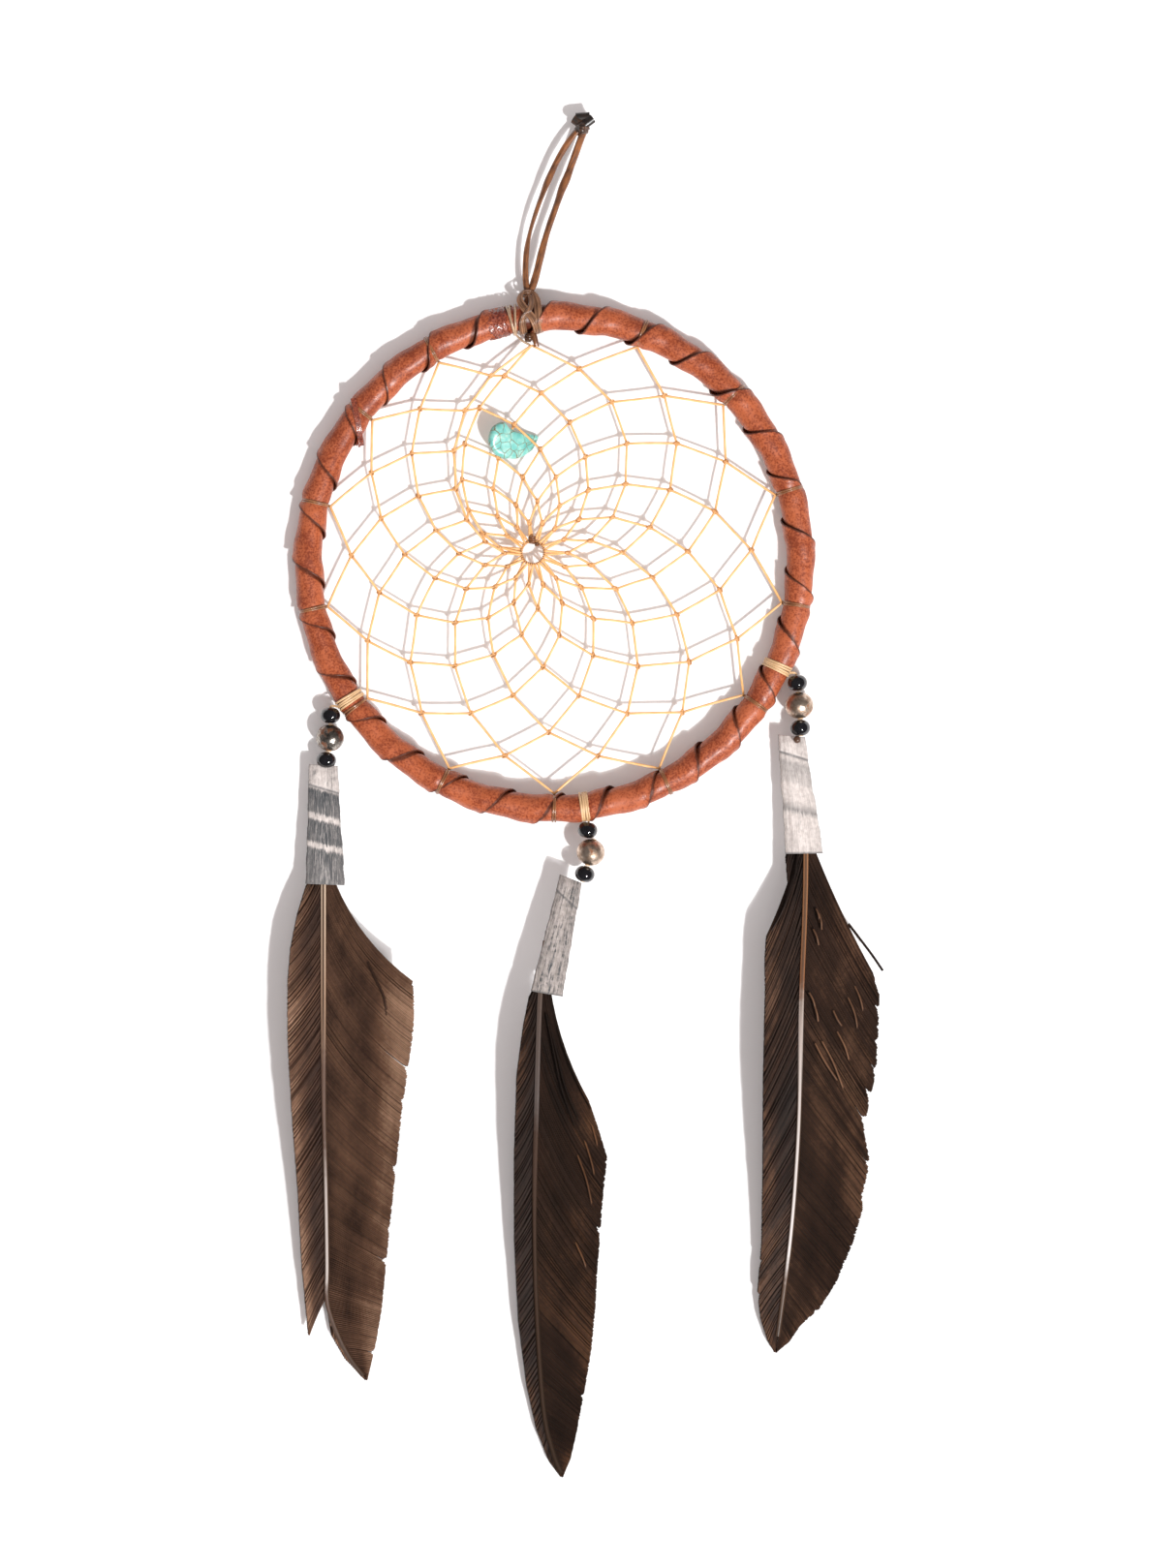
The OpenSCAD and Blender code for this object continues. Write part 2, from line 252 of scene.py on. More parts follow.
class SharedEffects:
    """Shader node groups that several finishes use, each built once."""

    built: dict[str, bpy.types.NodeTree] = {}

    @classmethod
    def get(cls, name: str) -> bpy.types.NodeTree:
        """Build an effect, or find it if it is built."""
        if name not in cls.built:
            cls.built[name] = getattr(cls, name)()
        return cls.built[name]

    @staticmethod
    def fibres() -> bpy.types.NodeTree:
        """Long fine fibres along a strand: inputs Along, Around, Count; outputs Tone and Height."""
        inputs = {"Along": NUMBER, "Around": NUMBER, "Count": NUMBER}
        bench, (along, around, count) = Bench.open("fibres", inputs, {"Tone": NUMBER, "Height": NUMBER})
        angle = around * TURN
        place = bench.join(angle.math("COSINE") * count, angle.math("SINE") * count, along * 0.35)
        fine = bench.noise(place, 1.0, 4.0, 0.6)
        broad = bench.noise(bench.stretched(place, (0.3, 0.3, 1.4)), 1.0, 2.0, 0.5)
        return bench.close(Tone=bench.span(fine * 0.6 + broad * 0.4, 0.32, 0.68), Height=fine)

    @staticmethod
    def grain() -> bpy.types.NodeTree:
        """Fine pores and pebbling: inputs Place and Scale; outputs Tone and Height."""
        inputs = {"Place": VECTOR, "Scale": NUMBER}
        bench, (place, scale) = Bench.open("grain", inputs, {"Tone": NUMBER, "Height": NUMBER})
        cells = bench.add("ShaderNodeTexVoronoi", {"Vector": place, "Scale": scale}, feature="F1")
        fuzz = bench.noise(place, scale * 0.7, 4.0, 0.65)
        height = cells * 0.5 + fuzz
        return bench.close(Tone=bench.span(height, 0.45, 1.0), Height=height)

    @staticmethod
    def patches() -> bpy.types.NodeTree:
        """Uneven patches: inputs Place, Scale, From and To; output Mask."""
        inputs = {"Place": VECTOR, "Scale": NUMBER, "From": NUMBER, "To": NUMBER}
        bench, (place, scale, low, high) = Bench.open("patches", inputs, {"Mask": NUMBER})
        return bench.close(Mask=bench.span(bench.noise(place, scale, 6.0, 0.6), low, high))


def effect(bench: Bench, name: str, inputs: dict[str, object], *outs: str) -> list[Wire]:
    """Place a shared effect in a material.

    Args:
        bench: the material's bench.
        name: the effect's name.
        inputs: values or wires by input name.
        outs: the outputs wanted.

    Returns:
        The wanted outputs.
    """
    node = bench.tree.nodes.new("ShaderNodeGroup")
    node.node_tree = SharedEffects.get(name)
    for label, value in inputs.items():
        feed(bench.tree, node.inputs[label], value)
    return [Wire(bench.tree, node.outputs[out]) for out in outs]


def patchy(bench: Bench, place: Wire, scale: float, low: float, high: float) -> Wire:
    """Place the shared patches in a material and give their mask."""
    return effect(bench, "patches", {"Place": place, "Scale": scale, "From": low, "To": high}, "Mask")[0]


# ---- finishes


@dataclass(frozen=True)
class Finish:
    """A material with constant gloss values on the shader's own sockets."""

    name: str
    roughness: float = 0.5
    metallic: float = 0.0
    coat: float = 0.0
    coat_roughness: float = 0.2
    specular: float = 0.5

    def build(self) -> bpy.types.Material:
        """Make the material.

        Returns:
            The material, painted by paint().
        """
        stuff = bpy.data.materials.new(self.name)
        stuff.use_nodes = True
        shader = stuff.node_tree.nodes["Principled BSDF"]
        constants = {
            "Roughness": self.roughness, "Metallic": self.metallic, "Coat Weight": self.coat,
            "Coat Roughness": self.coat_roughness, "Specular IOR Level": self.specular,
        }
        for label, value in constants.items():
            shader.inputs[label].default_value = value
        self.paint(Bench(stuff.node_tree), shader)
        return stuff

    def paint(self, bench: Bench, shader: bpy.types.Node) -> None:
        """Add what changes over the surface."""
        raise NotImplementedError


@dataclass(frozen=True)
class Leather(Finish):
    """Smooth red-brown lacing with fine pores, a dark cut edge widened into a painted shade line along each seam,
    painted shade in the crease beside it, and worn high spots.
    """

    deep: Colour = (0.2, 0.034, 0.01)
    light: Colour = (0.41, 0.1, 0.036)
    # edge: the cut edge's own dark colour, also used for the painted shade along the seam and in the crease
    edge: Colour = (0.05, 0.012, 0.006)
    relief: float = 0.00007
    glued: bool = False

    def paint(self, bench: Bench, shader: bpy.types.Node) -> None:
        """Tone patches, pores, the strip's dark cut edge with painted seam shade, and painted shade in the crease
        beside it.
        """
        here = bench.here()
        cloud = bench.noise(here, 170.0, 5.0, 0.62)
        pores, pits = effect(bench, "grain", {"Place": here, "Scale": 2600.0}, "Tone", "Height")
        tone = bench.span(cloud * 0.85 + pores * 0.34, 0.38, 0.82)
        colour = bench.blend(tone, self.deep, self.light)
        if not self.glued:
            across = bench.attribute("across")
            flutter = (bench.noise(here, FINE, 3.0) - 0.5) * 0.05
            # the cut edge is darker in its own colour, and this band is widened into a painted shade line along the
            # seam
            cut_edge_and_seam_shade = bench.span(across + flutter, 0.012, 0.04, 1.0, 0.0)
            # crease: painted shade in the crevice where the next turn laps over
            crease = bench.span(across + flutter * 0.5, 0.765, 0.81)
            colour = bench.blend(crease * 0.75, colour, self.edge)
            colour = bench.blend(cut_edge_and_seam_shade * 0.85, colour, self.edge)
        bench.put(colour, shader, "Base Color")
        gloss = bench.span(bench.noise(here, 420.0, 4.0), 0.35, 0.65, self.roughness - 0.1, self.roughness + 0.12)
        bench.put(gloss, shader, "Roughness")
        height = pits + bench.noise(here, FINE, 3.0) * 1.5
        bench.put(bench.bump(height, self.relief, 0.65), shader, "Normal")


@dataclass(frozen=True)
class Sinew(Finish):
    """Waxed sinew: flat bundled fibres, darker where it is pulled into a knot."""

    deep: Colour = (0.76, 0.36, 0.1)
    light: Colour = (0.93, 0.585, 0.28)
    knotted: Colour = (0.38, 0.125, 0.028)
    count: float = 2.2

    def paint(self, bench: Bench, shader: bpy.types.Node) -> None:
        """Fibres along the strand, and the wax darkened at knots."""
        along = bench.attribute("along")
        around = bench.attribute("around")
        inputs = {"Along": along, "Around": around, "Count": self.count}
        tone, height = effect(bench, "fibres", inputs, "Tone", "Height")
        colour = bench.blend(tone, self.deep, self.light)
        colour = bench.blend(bench.attribute("knot"), colour, self.knotted)
        bench.put(colour, shader, "Base Color")
        bench.put(bench.span(tone, 0.0, 1.0, self.roughness + 0.08, self.roughness - 0.08), shader, "Roughness")
        bench.put(bench.bump(height, 0.00012, 0.6), shader, "Normal")


@dataclass(frozen=True)
class Turquoise(Finish):
    """Polished blue-green stone with brown matrix veins."""

    def paint(self, bench: Bench, shader: bpy.types.Node) -> None:
        """Cloudy blue-green, a net of veins of uneven width, and small pits."""
        here = bench.here()
        drift = bench.add("ShaderNodeTexNoise", {"Vector": here, "Scale": 420.0, "Detail": 3.0}, out=1)
        bent = bench.add("ShaderNodeVectorMath", {0: drift, "Scale": 0.0011}, operation="SCALE")
        warped = bench.add("ShaderNodeVectorMath", {0: bent, 1: here}, operation="ADD")
        net = bench.add(
            "ShaderNodeTexVoronoi", {"Vector": warped, "Scale": 520.0, "Randomness": 1.0}, feature="DISTANCE_TO_EDGE"
        )
        fade = patchy(bench, here, 500.0, 0.35, 0.6)
        vein = bench.span(net, 0.01, 0.05, 1.0, 0.0) * (fade * 0.55 + 0.45)
        ground = bench.ramp(
            bench.noise(here, 600.0, 5.0, 0.6),
            [(0.3, (0.09, 0.36, 0.33)), (0.5, (0.16, 0.47, 0.42)), (0.7, (0.36, 0.58, 0.5))],
        )
        bench.put(bench.blend(vein, ground, (0.17, 0.12, 0.05)), shader, "Base Color")
        bench.put(bench.bump(vein * -1.0 + bench.noise(here, 2500.0, 3.0) * 0.3, 0.00008, 0.7), shader, "Normal")


@dataclass(frozen=True)
class Glass(Finish):
    """Opaque black glass with faint wheel marks."""

    def paint(self, bench: Bench, shader: bpy.types.Node) -> None:
        """Near-black with a trace of grey, and a gently wavy skin."""
        here = bench.here()
        stops = [(0.35, (0.002, 0.002, 0.003)), (0.75, (0.008, 0.008, 0.01))]
        bench.put(bench.ramp(bench.noise(here, FINE, 3.0), stops), shader, "Base Color")
        bench.put(bench.span(bench.noise(here, 1600.0, 2.0), 0.3, 0.7, 0.03, 0.07), shader, "Roughness")
        bench.put(bench.bump(bench.noise(here, 300.0, 2.0), 0.00004, 0.5), shader, "Normal")


@dataclass(frozen=True)
class AgedMetal(Finish):
    """Plated metal with a mottled patina, worn bright on the high spots."""

    bright: Colour = (0.62, 0.5, 0.38)
    dull: Colour = (0.2, 0.13, 0.08)
    stain: Colour = (0.25, 0.09, 0.03)
    stained: tuple[float, float] = (0.58, 0.66)
    gloss: tuple[float, float] = (0.42, 0.2)

    def paint(self, bench: Bench, shader: bpy.types.Node) -> None:
        """Patina patches, stains that are rough and not metallic, and tool marks."""
        here = bench.here()
        wear = bench.noise(here, FINE, 6.0, 0.65)
        colour = bench.blend(bench.span(wear, 0.36, 0.62), self.dull, self.bright)
        stain = patchy(bench, here, 520.0, *self.stained)
        bench.put(bench.blend(stain, colour, self.stain), shader, "Base Color")
        bench.put(stain * -0.8 + 1.0, shader, "Metallic")
        bench.put(bench.span(wear, 0.3, 0.7, *self.gloss) + stain * 0.3, shader, "Roughness")
        bench.put(bench.bump(bench.noise(here, 1100.0, 4.0), 0.00014, 0.8), shader, "Normal")


@dataclass(frozen=True)
class Steel(Finish):
    """Drawn steel wire with fine length marks."""

    def paint(self, bench: Bench, shader: bpy.types.Node) -> None:
        """Grey with fine scratches."""
        here = bench.here()
        marks = bench.noise(here, 3000.0, 4.0)
        bench.put(bench.blend(marks, (0.35, 0.34, 0.33), (0.6, 0.59, 0.57)), shader, "Base Color")
        bench.put(bench.bump(marks, 0.00003), shader, "Normal")


@dataclass(frozen=True)
class PaintedHide(Finish):
    """Thin folded hide with a chalky coat, dark brush streaks and, on one, smoked bands, with painted shade at the
    mouth, in the crease of the folded top and along the side edges.
    """

    ground: Colour = (0.54, 0.48, 0.45)
    chalk: Colour = (0.76, 0.69, 0.65)
    # the smoked bands' colour, which also paints the shade at the mouth, in the crease and along the side edges
    smoke_and_shade: Colour = (0.035, 0.042, 0.048)
    bands: tuple[tuple[float, float], ...] = ((0.0, 0.0), (1.0, 0.0))
    slant: float = 0.1
    streaks: float = 0.5

    def paint(self, bench: Bench, shader: bpy.types.Node) -> None:
        """Streaks along the hide, bands with ragged edges, and painted shade at the mouth's rim, in the crease of the
        folded top and along the side edges.
        """
        along = bench.attribute("along")
        around = bench.attribute("around")
        side = bench.attribute("sideways")
        here = bench.here()
        angle = around * TURN
        lie = bench.join(angle.math("COSINE") * 9.0, angle.math("SINE") * 9.0, along * 3.0)
        streak = bench.noise(lie, 1.6, 5.0, 0.65)
        hair = bench.noise(bench.stretched(lie, (3.2, 3.2, 1.6)), 1.5, 4.0, 0.7)
        ragged = along + side * self.slant + (streak - 0.5) * 0.12 + (hair - 0.5) * 0.1
        zone = bench.ramp(ragged, [(place, (dark, dark, dark)) for place, dark in self.bands])
        dark_lines = bench.span(streak * 0.6 + hair * 0.4, 0.57 - 0.08 * self.streaks, 0.7 - 0.08 * self.streaks)
        flecks = patchy(bench, here, FINE, 0.45, 0.6)
        rub = bench.span(hair * 0.7 + streak * 0.3, 0.49, 0.62, 1.0, 0.38)
        smoke_and_shade_share = (zone * rub).math("MAXIMUM", dark_lines * (flecks * 0.5 + 0.5) * self.streaks)
        # painted shade: the rim and inside of the mouth are darkened
        rim = bench.span(along, 0.975, 0.995) * 0.7
        # painted shade along the crease of the folded top and inside the mouth
        fold = bench.attribute("fold")
        smoke_and_shade_share = smoke_and_shade_share.math("MAXIMUM", rim).math("MAXIMUM", fold * (hair * 0.8 + 0.4))

        chalky = bench.span(hair * 0.6 + bench.noise(here, 1400.0, 4.0) * 0.4, 0.4, 0.6)
        pale = bench.blend(chalky, self.ground, self.chalk)
        # painted shade along both side edges, where the flattened tube turns away
        sides = bench.span(side.math("ABSOLUTE"), 0.955, 0.995) * 0.7
        bench.put(bench.blend(smoke_and_shade_share.math("MAXIMUM", sides), pale, self.smoke_and_shade), shader, "Base Color")
        bench.put(bench.bump(streak * 1.4 + hair, 0.00022, 0.7), shader, "Normal")


@dataclass(frozen=True)
class Vane(Finish):
    """A feather's web of barbs: brown, with lighter edges and darker clouds."""

    deep: Colour = (0.03, 0.018, 0.01)
    middle: Colour = (0.1, 0.06, 0.035)
    pale: Colour = (0.3, 0.19, 0.12)
    edge_share: float = 0.5
    cloud_share: float = 0.5
    cloud_scale: float = 90.0
    offset: float = -0.12

    def paint(self, bench: Bench, shader: bpy.types.Node) -> None:
        """Clouds over the vane, paler barb ends, a tone for each barb and painted shade on one side of each."""
        here = bench.here()
        reach = bench.attribute("reach")
        tint = bench.attribute("tint")
        around = bench.attribute("around")
        cloud = bench.noise(bench.stretched(here, (1.0, 1.0, 0.4)), self.cloud_scale, 6.0, 0.62)
        speck = bench.noise(here, 1500.0, 3.0, 0.6)
        share = bench.span(cloud, 0.3, 0.7) * self.cloud_share + speck * 0.26 + tint * 0.2
        share = share + bench.span(reach, 0.4, 1.0) * self.edge_share + self.offset + bench.attribute("fleck")
        colour = bench.ramp(share, [(0.05, self.deep), (0.42, self.middle), (0.95, self.pale)])
        # painted shade: one side of each barb is darkened towards the deep colour
        shade = bench.span((around * TURN).math("SINE"), -0.7, 0.4, 0.85, 0.0)
        colour = bench.blend(shade, colour, self.deep)
        bench.put(colour, shader, "Base Color")
        bench.put(bench.bump(speck, 0.00005, 0.6), shader, "Normal")


@dataclass(frozen=True)
class Quill(Finish):
    """A feather's shaft: horn that changes colour along its length, with painted shade in the groove in front."""

    stops: tuple[tuple[float, Colour], ...] = ((0.0, (0.3, 0.2, 0.12)), (1.0, (0.1, 0.06, 0.03)))
    # groove: the colour of the painted shade in the groove, and of the shaft's darker sides lower down
    groove: Colour = (0.06, 0.032, 0.018)
    grooved: float = 0.7

    def paint(self, bench: Bench, shader: bpy.types.Node) -> None:
        """Colour by the distance along, and painted shade in the groove by the place around."""
        share = bench.attribute("share")
        around = bench.attribute("around")
        here = bench.here()
        fuzz = bench.noise(here, FINE, 3.0)
        colour = bench.ramp(share + (fuzz - 0.5) * 0.06, list(self.stops))
        front = bench.span((around - 0.5).math("ABSOLUTE"), 0.05, 0.14, 1.0, 0.0)
        # painted shade: the groove in front is darkened on the upper shaft
        hollow = front * bench.span(share, 0.3, 0.5, self.grooved, 0.0)
        sides = (front * -1.0 + 1.0) * bench.span(share, 0.4, 0.56)
        bench.put(bench.blend(hollow + sides, colour, self.groove), shader, "Base Color")
        bench.put(bench.bump(hollow * -1.0 + fuzz * 0.4, 0.0001, 0.8), shader, "Normal")


class Rack:
    """Every finish in use, made once and shared by the pieces."""

    def __init__(self) -> None:
        """Start with an empty rack."""
        self.made: dict[str, bpy.types.Material] = {}

    def get(self, finish: Finish) -> bpy.types.Material:
        """Make a finish, or find it if it is made."""
        if finish.name not in self.made:
            self.made[finish.name] = finish.build()
        return self.made[finish.name]


RACK = Rack()

LACING = Leather("lacing_leather", roughness=0.44, coat=0.1, coat_roughness=0.28, specular=0.35)
FRAYED = Leather("frayed_leather", roughness=0.3, coat=0.7, coat_roughness=0.12, deep=(0.1, 0.014, 0.008),
                 light=(0.3, 0.07, 0.035), relief=0.0002, glued=True)
WEB_SINEW = Sinew("web_sinew", roughness=0.42)
TIE_SINEW = Sinew("tie_sinew", roughness=0.36, deep=(0.42, 0.24, 0.1), light=(0.85, 0.58, 0.34), count=3.0)
HITCH_SINEW = Sinew("hitch_sinew", roughness=0.3, deep=(0.1, 0.03, 0.01), light=(0.36, 0.15, 0.06), coat=0.4)
START_SINEW = Sinew("start_sinew", roughness=0.3, deep=(0.15, 0.075, 0.036), light=(0.62, 0.43, 0.28), count=3.6,
                    coat=0.5)
HEAD_CORD = Sinew("head_cord", roughness=0.3, deep=(0.08, 0.03, 0.014), light=(0.44, 0.225, 0.12), count=3.2,
                  knotted=(0.045, 0.018, 0.008), coat=0.3)
BROWN_CORD = Sinew("brown_cord", roughness=0.3, deep=(0.045, 0.014, 0.006), light=(0.3, 0.115, 0.042), count=2.2,
                   knotted=(0.03, 0.012, 0.006), coat=0.2)
BURNT_KNOT = Sinew("burnt_knot", roughness=0.36, deep=(0.008, 0.006, 0.005), light=(0.1, 0.045, 0.024), count=1.4,
                   knotted=(0.012, 0.009, 0.008), coat=0.12)
STONE = Turquoise("turquoise_stone", roughness=0.34, coat=0.2, coat_roughness=0.2)
BLACK_GLASS = Glass("black_glass", roughness=0.08, coat=0.6, coat_roughness=0.03)
GUNMETAL = AgedMetal("gunmetal", bright=(0.42, 0.38, 0.34), dull=(0.1, 0.085, 0.075), stain=(0.16, 0.055, 0.02),
                     stained=(0.52, 0.62), metallic=1.0)
BRONZE = AgedMetal("antique_bronze", bright=(0.66, 0.53, 0.43), dull=(0.36, 0.25, 0.18), gloss=(0.5, 0.3), metallic=1.0)
WIRE_STEEL = Steel("ring_steel", roughness=0.3, metallic=1.0)


# ---- meshes


def set_out(name: str, data: bpy.types.ID) -> bpy.types.Object:
    """Make an object of a mesh, a camera or a light, and link it to the scene."""
    thing = bpy.data.objects.new(name, data)
    bpy.context.scene.collection.objects.link(thing)
    return thing


def carry(mesh: bpy.types.Mesh, name: str, parts: list[np.ndarray], kind: str = "FLOAT") -> None:
    """Make a mesh carry an attribute at its points.

    Args:
        mesh: the mesh.
        name: the attribute's name.
        parts: its values, in stretches.
        kind: FLOAT or FLOAT_VECTOR.
    """
    layer = mesh.attributes.new(name, kind, "POINT")
    field_name = "vector" if kind == "FLOAT_VECTOR" else "value"
    layer.data.foreach_set(field_name, np.concatenate(parts).astype(np.float32).ravel())


@dataclass
class MeshBag:
    """Points, faces and point attributes gathered in millimetres, made into one mesh at the end."""

    points: list[np.ndarray] = field(default_factory=list)
    faces: list[tuple[int, ...]] = field(default_factory=list)
    marks: dict[str, list[np.ndarray]] = field(default_factory=dict)
    count: int = 0

    def put(self, points: np.ndarray, faces: list[tuple[int, ...]], **marks: np.ndarray) -> None:
        """Add a patch of mesh.

        Args:
            points: its points, in millimetres.
            faces: its faces, counted from its own first point.
            marks: a value for each point, by attribute name.
        """
        self.faces += [tuple(i + self.count for i in face) for face in faces]
        self.points.append(points)
        for name, values in marks.items():
            self.marks.setdefault(name, []).append(np.broadcast_to(values, len(points)))
        self.count += len(points)

    def make(self, name: str, finish: Finish) -> bpy.types.Object:
        """Make the object.

        Args:
            name: the piece's name.
            finish: its finish.

        Returns:
            The object, at the origin, with its place in its mesh, in metres.
        """
        mesh = bpy.data.meshes.new(name)
        mesh.from_pydata((np.concatenate(self.points) * MM).tolist(), [], self.faces)
        for label, parts in self.marks.items():
            carry(mesh, label, parts)
        mesh.shade_smooth()
        mesh.materials.append(RACK.get(finish))
        return set_out(name, mesh)


def grid_faces(rows: int, columns: int, closed: bool = True, flip: bool = False) -> list[tuple[int, ...]]:
    """Quads between the rows of a grid.

    Args:
        rows: how many rows of points.
        columns: how many points in a row.
        closed: whether each row is a ring.
        flip: whether to turn the faces over.

    Returns:
        The faces.
    """
    faces = []
    for i in range(rows - 1):
        for j in range(columns if closed else columns - 1):
            k = (j + 1) % columns
            quad = (i * columns + j, i * columns + k, (i + 1) * columns + k, (i + 1) * columns + j)
            faces.append(quad[::-1] if flip else quad)
    return faces


def caps(rows: int, columns: int) -> list[tuple[int, ...]]:
    """Give the faces that close a grid of rings at both ends."""
    return [tuple(range(columns)), tuple((rows - 1) * columns + j for j in range(columns))[::-1]]


def smooth_line(points: Sequence[Sequence[float]], count: int) -> np.ndarray:
    """Run a smooth line through a few points.

    Args:
        points: the points.
        count: how many to return, evenly spaced along the line.

    Returns:
        The points of the line.
    """
    given = np.array(points, float)
    ends = np.vstack([2 * given[0] - given[1], given, 2 * given[-1] - given[-2]])
    fine = []
    for a, b, c, d in zip(ends[:-3], ends[1:-2], ends[2:-1], ends[3:]):
        t = np.linspace(0, 1, 24, endpoint=False)[:, None]
        fine.append(0.5 * (2 * b + (c - a) * t + (2 * a - 5 * b + 4 * c - d) * t**2 + (3 * b - a - 3 * c + d) * t**3))
    fine = np.vstack([*fine, given[-1:]])
    steps = np.concatenate([[0], np.cumsum(np.linalg.norm(np.diff(fine, axis=0), axis=1))])
    wanted = np.linspace(0, steps[-1], count)
    return np.stack([np.interp(wanted, steps, fine[:, k]) for k in range(fine.shape[1])], axis=1)


def flat_to_space(points: np.ndarray, depth: np.ndarray | float = 0.0) -> np.ndarray:
    """Turn (x, z) points into (x, y, z) at a depth."""
    return np.stack([points[:, 0], np.broadcast_to(depth, len(points)), points[:, 1]], axis=1)


def coiled(foot: Sequence[float], wide: float, deep: float, rise: float, turns: float, count: int) -> np.ndarray:
    """Give the points of an upright coil.

    Args:
        foot: the middle of its first turn.
        wide: its radius along x.
        deep: its radius along y.
        rise: how far it climbs.
        turns: how many turns it makes.
        count: how many points to give.

    Returns:
        The points.
    """
    s = np.linspace(0, 1, count)
    turn = s * TURN * turns
    return np.stack([foot[0] + wide * np.cos(turn), foot[1] + deep * np.sin(turn), foot[2] + rise * s], axis=1)


def unit(arrows: np.ndarray) -> np.ndarray:
    """Give directions a length of one."""
    return arrows / np.linalg.norm(arrows, axis=1)[:, None]


def leaning(lean: float) -> np.ndarray:
    """Give the upward direction of an axis that leans to the right by some degrees."""
    return np.array([math.sin(math.radians(lean)), 0.0, math.cos(math.radians(lean))])


# ---- strands, by Geometry Nodes


@dataclass
class Strands:
    """Lines that Geometry Nodes sweep into strands, in millimetres.

    Each line has a width factor at every point and a direction that its flat side faces.
    """

    width: float
    thickness: float
    sides: int = 6
    points: list[np.ndarray] = field(default_factory=list)
    edges: list[tuple[int, int]] = field(default_factory=list)
    girth: list[np.ndarray] = field(default_factory=list)
    facing: list[np.ndarray] = field(default_factory=list)
    marks: dict[str, list[np.ndarray]] = field(default_factory=dict)
    count: int = 0

    def line(
        self,
        points: np.ndarray,
        facing: np.ndarray | Sequence[float] = (0.0, -1.0, 0.0),
        girth: np.ndarray | float = 1.0,
        **marks: np.ndarray | float,
    ) -> None:
        """Add one line.

        Args:
            points: its points.
            facing: which way its flat side faces, once or for each point.
            girth: its width factor, once or for each point.
            marks: attribute values, once or for each point.
        """
        n = len(points)
        self.points.append(np.asarray(points, float))
        self.edges += [(self.count + i, self.count + i + 1) for i in range(n - 1)]
        self.girth.append(np.broadcast_to(girth, n))
        self.facing.append(np.broadcast_to(np.asarray(facing, float), (n, 3)))
        for label, values in marks.items():
            self.marks.setdefault(label, []).append(np.broadcast_to(values, n))
        self.count += n

    def make(self, name: str, finish: Finish) -> bpy.types.Object:
        """Sweep the lines.

        Args:
            name: the piece's name.
            finish: its finish.

        Returns:
            The swept mesh as an object.
        """
        mesh = bpy.data.meshes.new(name)
        mesh.from_pydata((np.concatenate(self.points) * MM).tolist(), self.edges, [])
        carry(mesh, "girth", self.girth)
        carry(mesh, "facing", self.facing, "FLOAT_VECTOR")
        for label, parts in self.marks.items():
            carry(mesh, label, parts)
        sizes = {
            "Width": self.width * MM, "Thickness": self.thickness * MM, "Sides": self.sides,
            "Material": RACK.get(finish),
        }
        return grown(set_out(name, mesh), StrandTree.get(), sizes)


class StrandTree:
    """The Geometry Nodes tree that sweeps lines into flat or round strands."""

    tree: bpy.types.NodeTree | None = None

    @classmethod
    def get(cls) -> bpy.types.NodeTree:
        """Build the tree, or find it if it is built."""
        if cls.tree is None:
            cls.tree = cls.build()
        return cls.tree

    @staticmethod
    def build() -> bpy.types.NodeTree:
        """Build the tree.

        Returns:
            A tree with the inputs Geometry, Width, Thickness, Sides and Material.
        """
        inputs = {"Geometry": SHAPE, "Width": NUMBER, "Thickness": NUMBER, "Sides": COUNT, "Material": STUFF}
        bench, wires = Bench.open("swept_strands", inputs, {"Geometry": SHAPE}, "GeometryNodeTree")
        source, width, thickness, sides, stuff = wires
        curve = bench.add("GeometryNodeMeshToCurve", {0: source})
        facing = bench.add("GeometryNodeInputNamedAttribute", {"Name": "facing"}, data_type="FLOAT_VECTOR")
        curve = bench.add("GeometryNodeSetCurveNormal", {"Curve": curve, "Normal": facing}, mode="FREE")
        girth = bench.add("GeometryNodeInputNamedAttribute", {"Name": "girth"}, data_type="FLOAT")
        curve = bench.add("GeometryNodeSetCurveRadius", {"Curve": curve, "Radius": girth})
        run = bench.add("GeometryNodeSplineParameter", out="Length")
        curve = bench.add(
            "GeometryNodeStoreNamedAttribute", {"Geometry": curve, "Name": "along", "Value": run * 1000.0},
            data_type="FLOAT", domain="POINT",
        )
        ring = bench.add("GeometryNodeCurvePrimitiveCircle", {"Resolution": sides, "Radius": 0.5}, mode="RADIUS")
        shape = bench.join(thickness, width, 1.0)
        ring = bench.add("GeometryNodeTransform", {"Geometry": ring, "Scale": shape, "Rotation": (0.0, 0.0, math.pi)})
        turn = bench.add("GeometryNodeSplineParameter", out="Factor")
        ring = bench.add(
            "GeometryNodeStoreNamedAttribute", {"Geometry": ring, "Name": "around", "Value": turn},
            data_type="FLOAT", domain="POINT",
        )
        swept = bench.add("GeometryNodeCurveToMesh", {"Curve": curve, "Profile Curve": ring, "Fill Caps": True})
        return bench.close_shape(swept, stuff)


def grown(base: bpy.types.Object, tree: bpy.types.NodeTree, sizes: dict[str, object]) -> bpy.types.Object:
    """Run a Geometry Nodes tree on an object and keep the result as its plain mesh.

    Args:
        base: the object that the tree starts from.
        tree: the tree.
        sizes: values for its inputs, by name.

    Returns:
        The same object with the result as its mesh and no modifier.
    """
    grow = base.modifiers.new("grow", "NODES")
    grow.node_group = tree
    for item in tree.interface.items_tree:
        if item.item_type == "SOCKET" and item.in_out == "INPUT" and item.name in sizes:
            grow[item.identifier] = sizes[item.name]
    bpy.context.view_layer.update()
    found = base.evaluated_get(bpy.context.evaluated_depsgraph_get())
    mesh = bpy.data.meshes.new_from_object(found)
    base.modifiers.remove(grow)
    old = base.data
    base.data = mesh
    mesh.name = base.name
    bpy.data.meshes.remove(old)
    return base


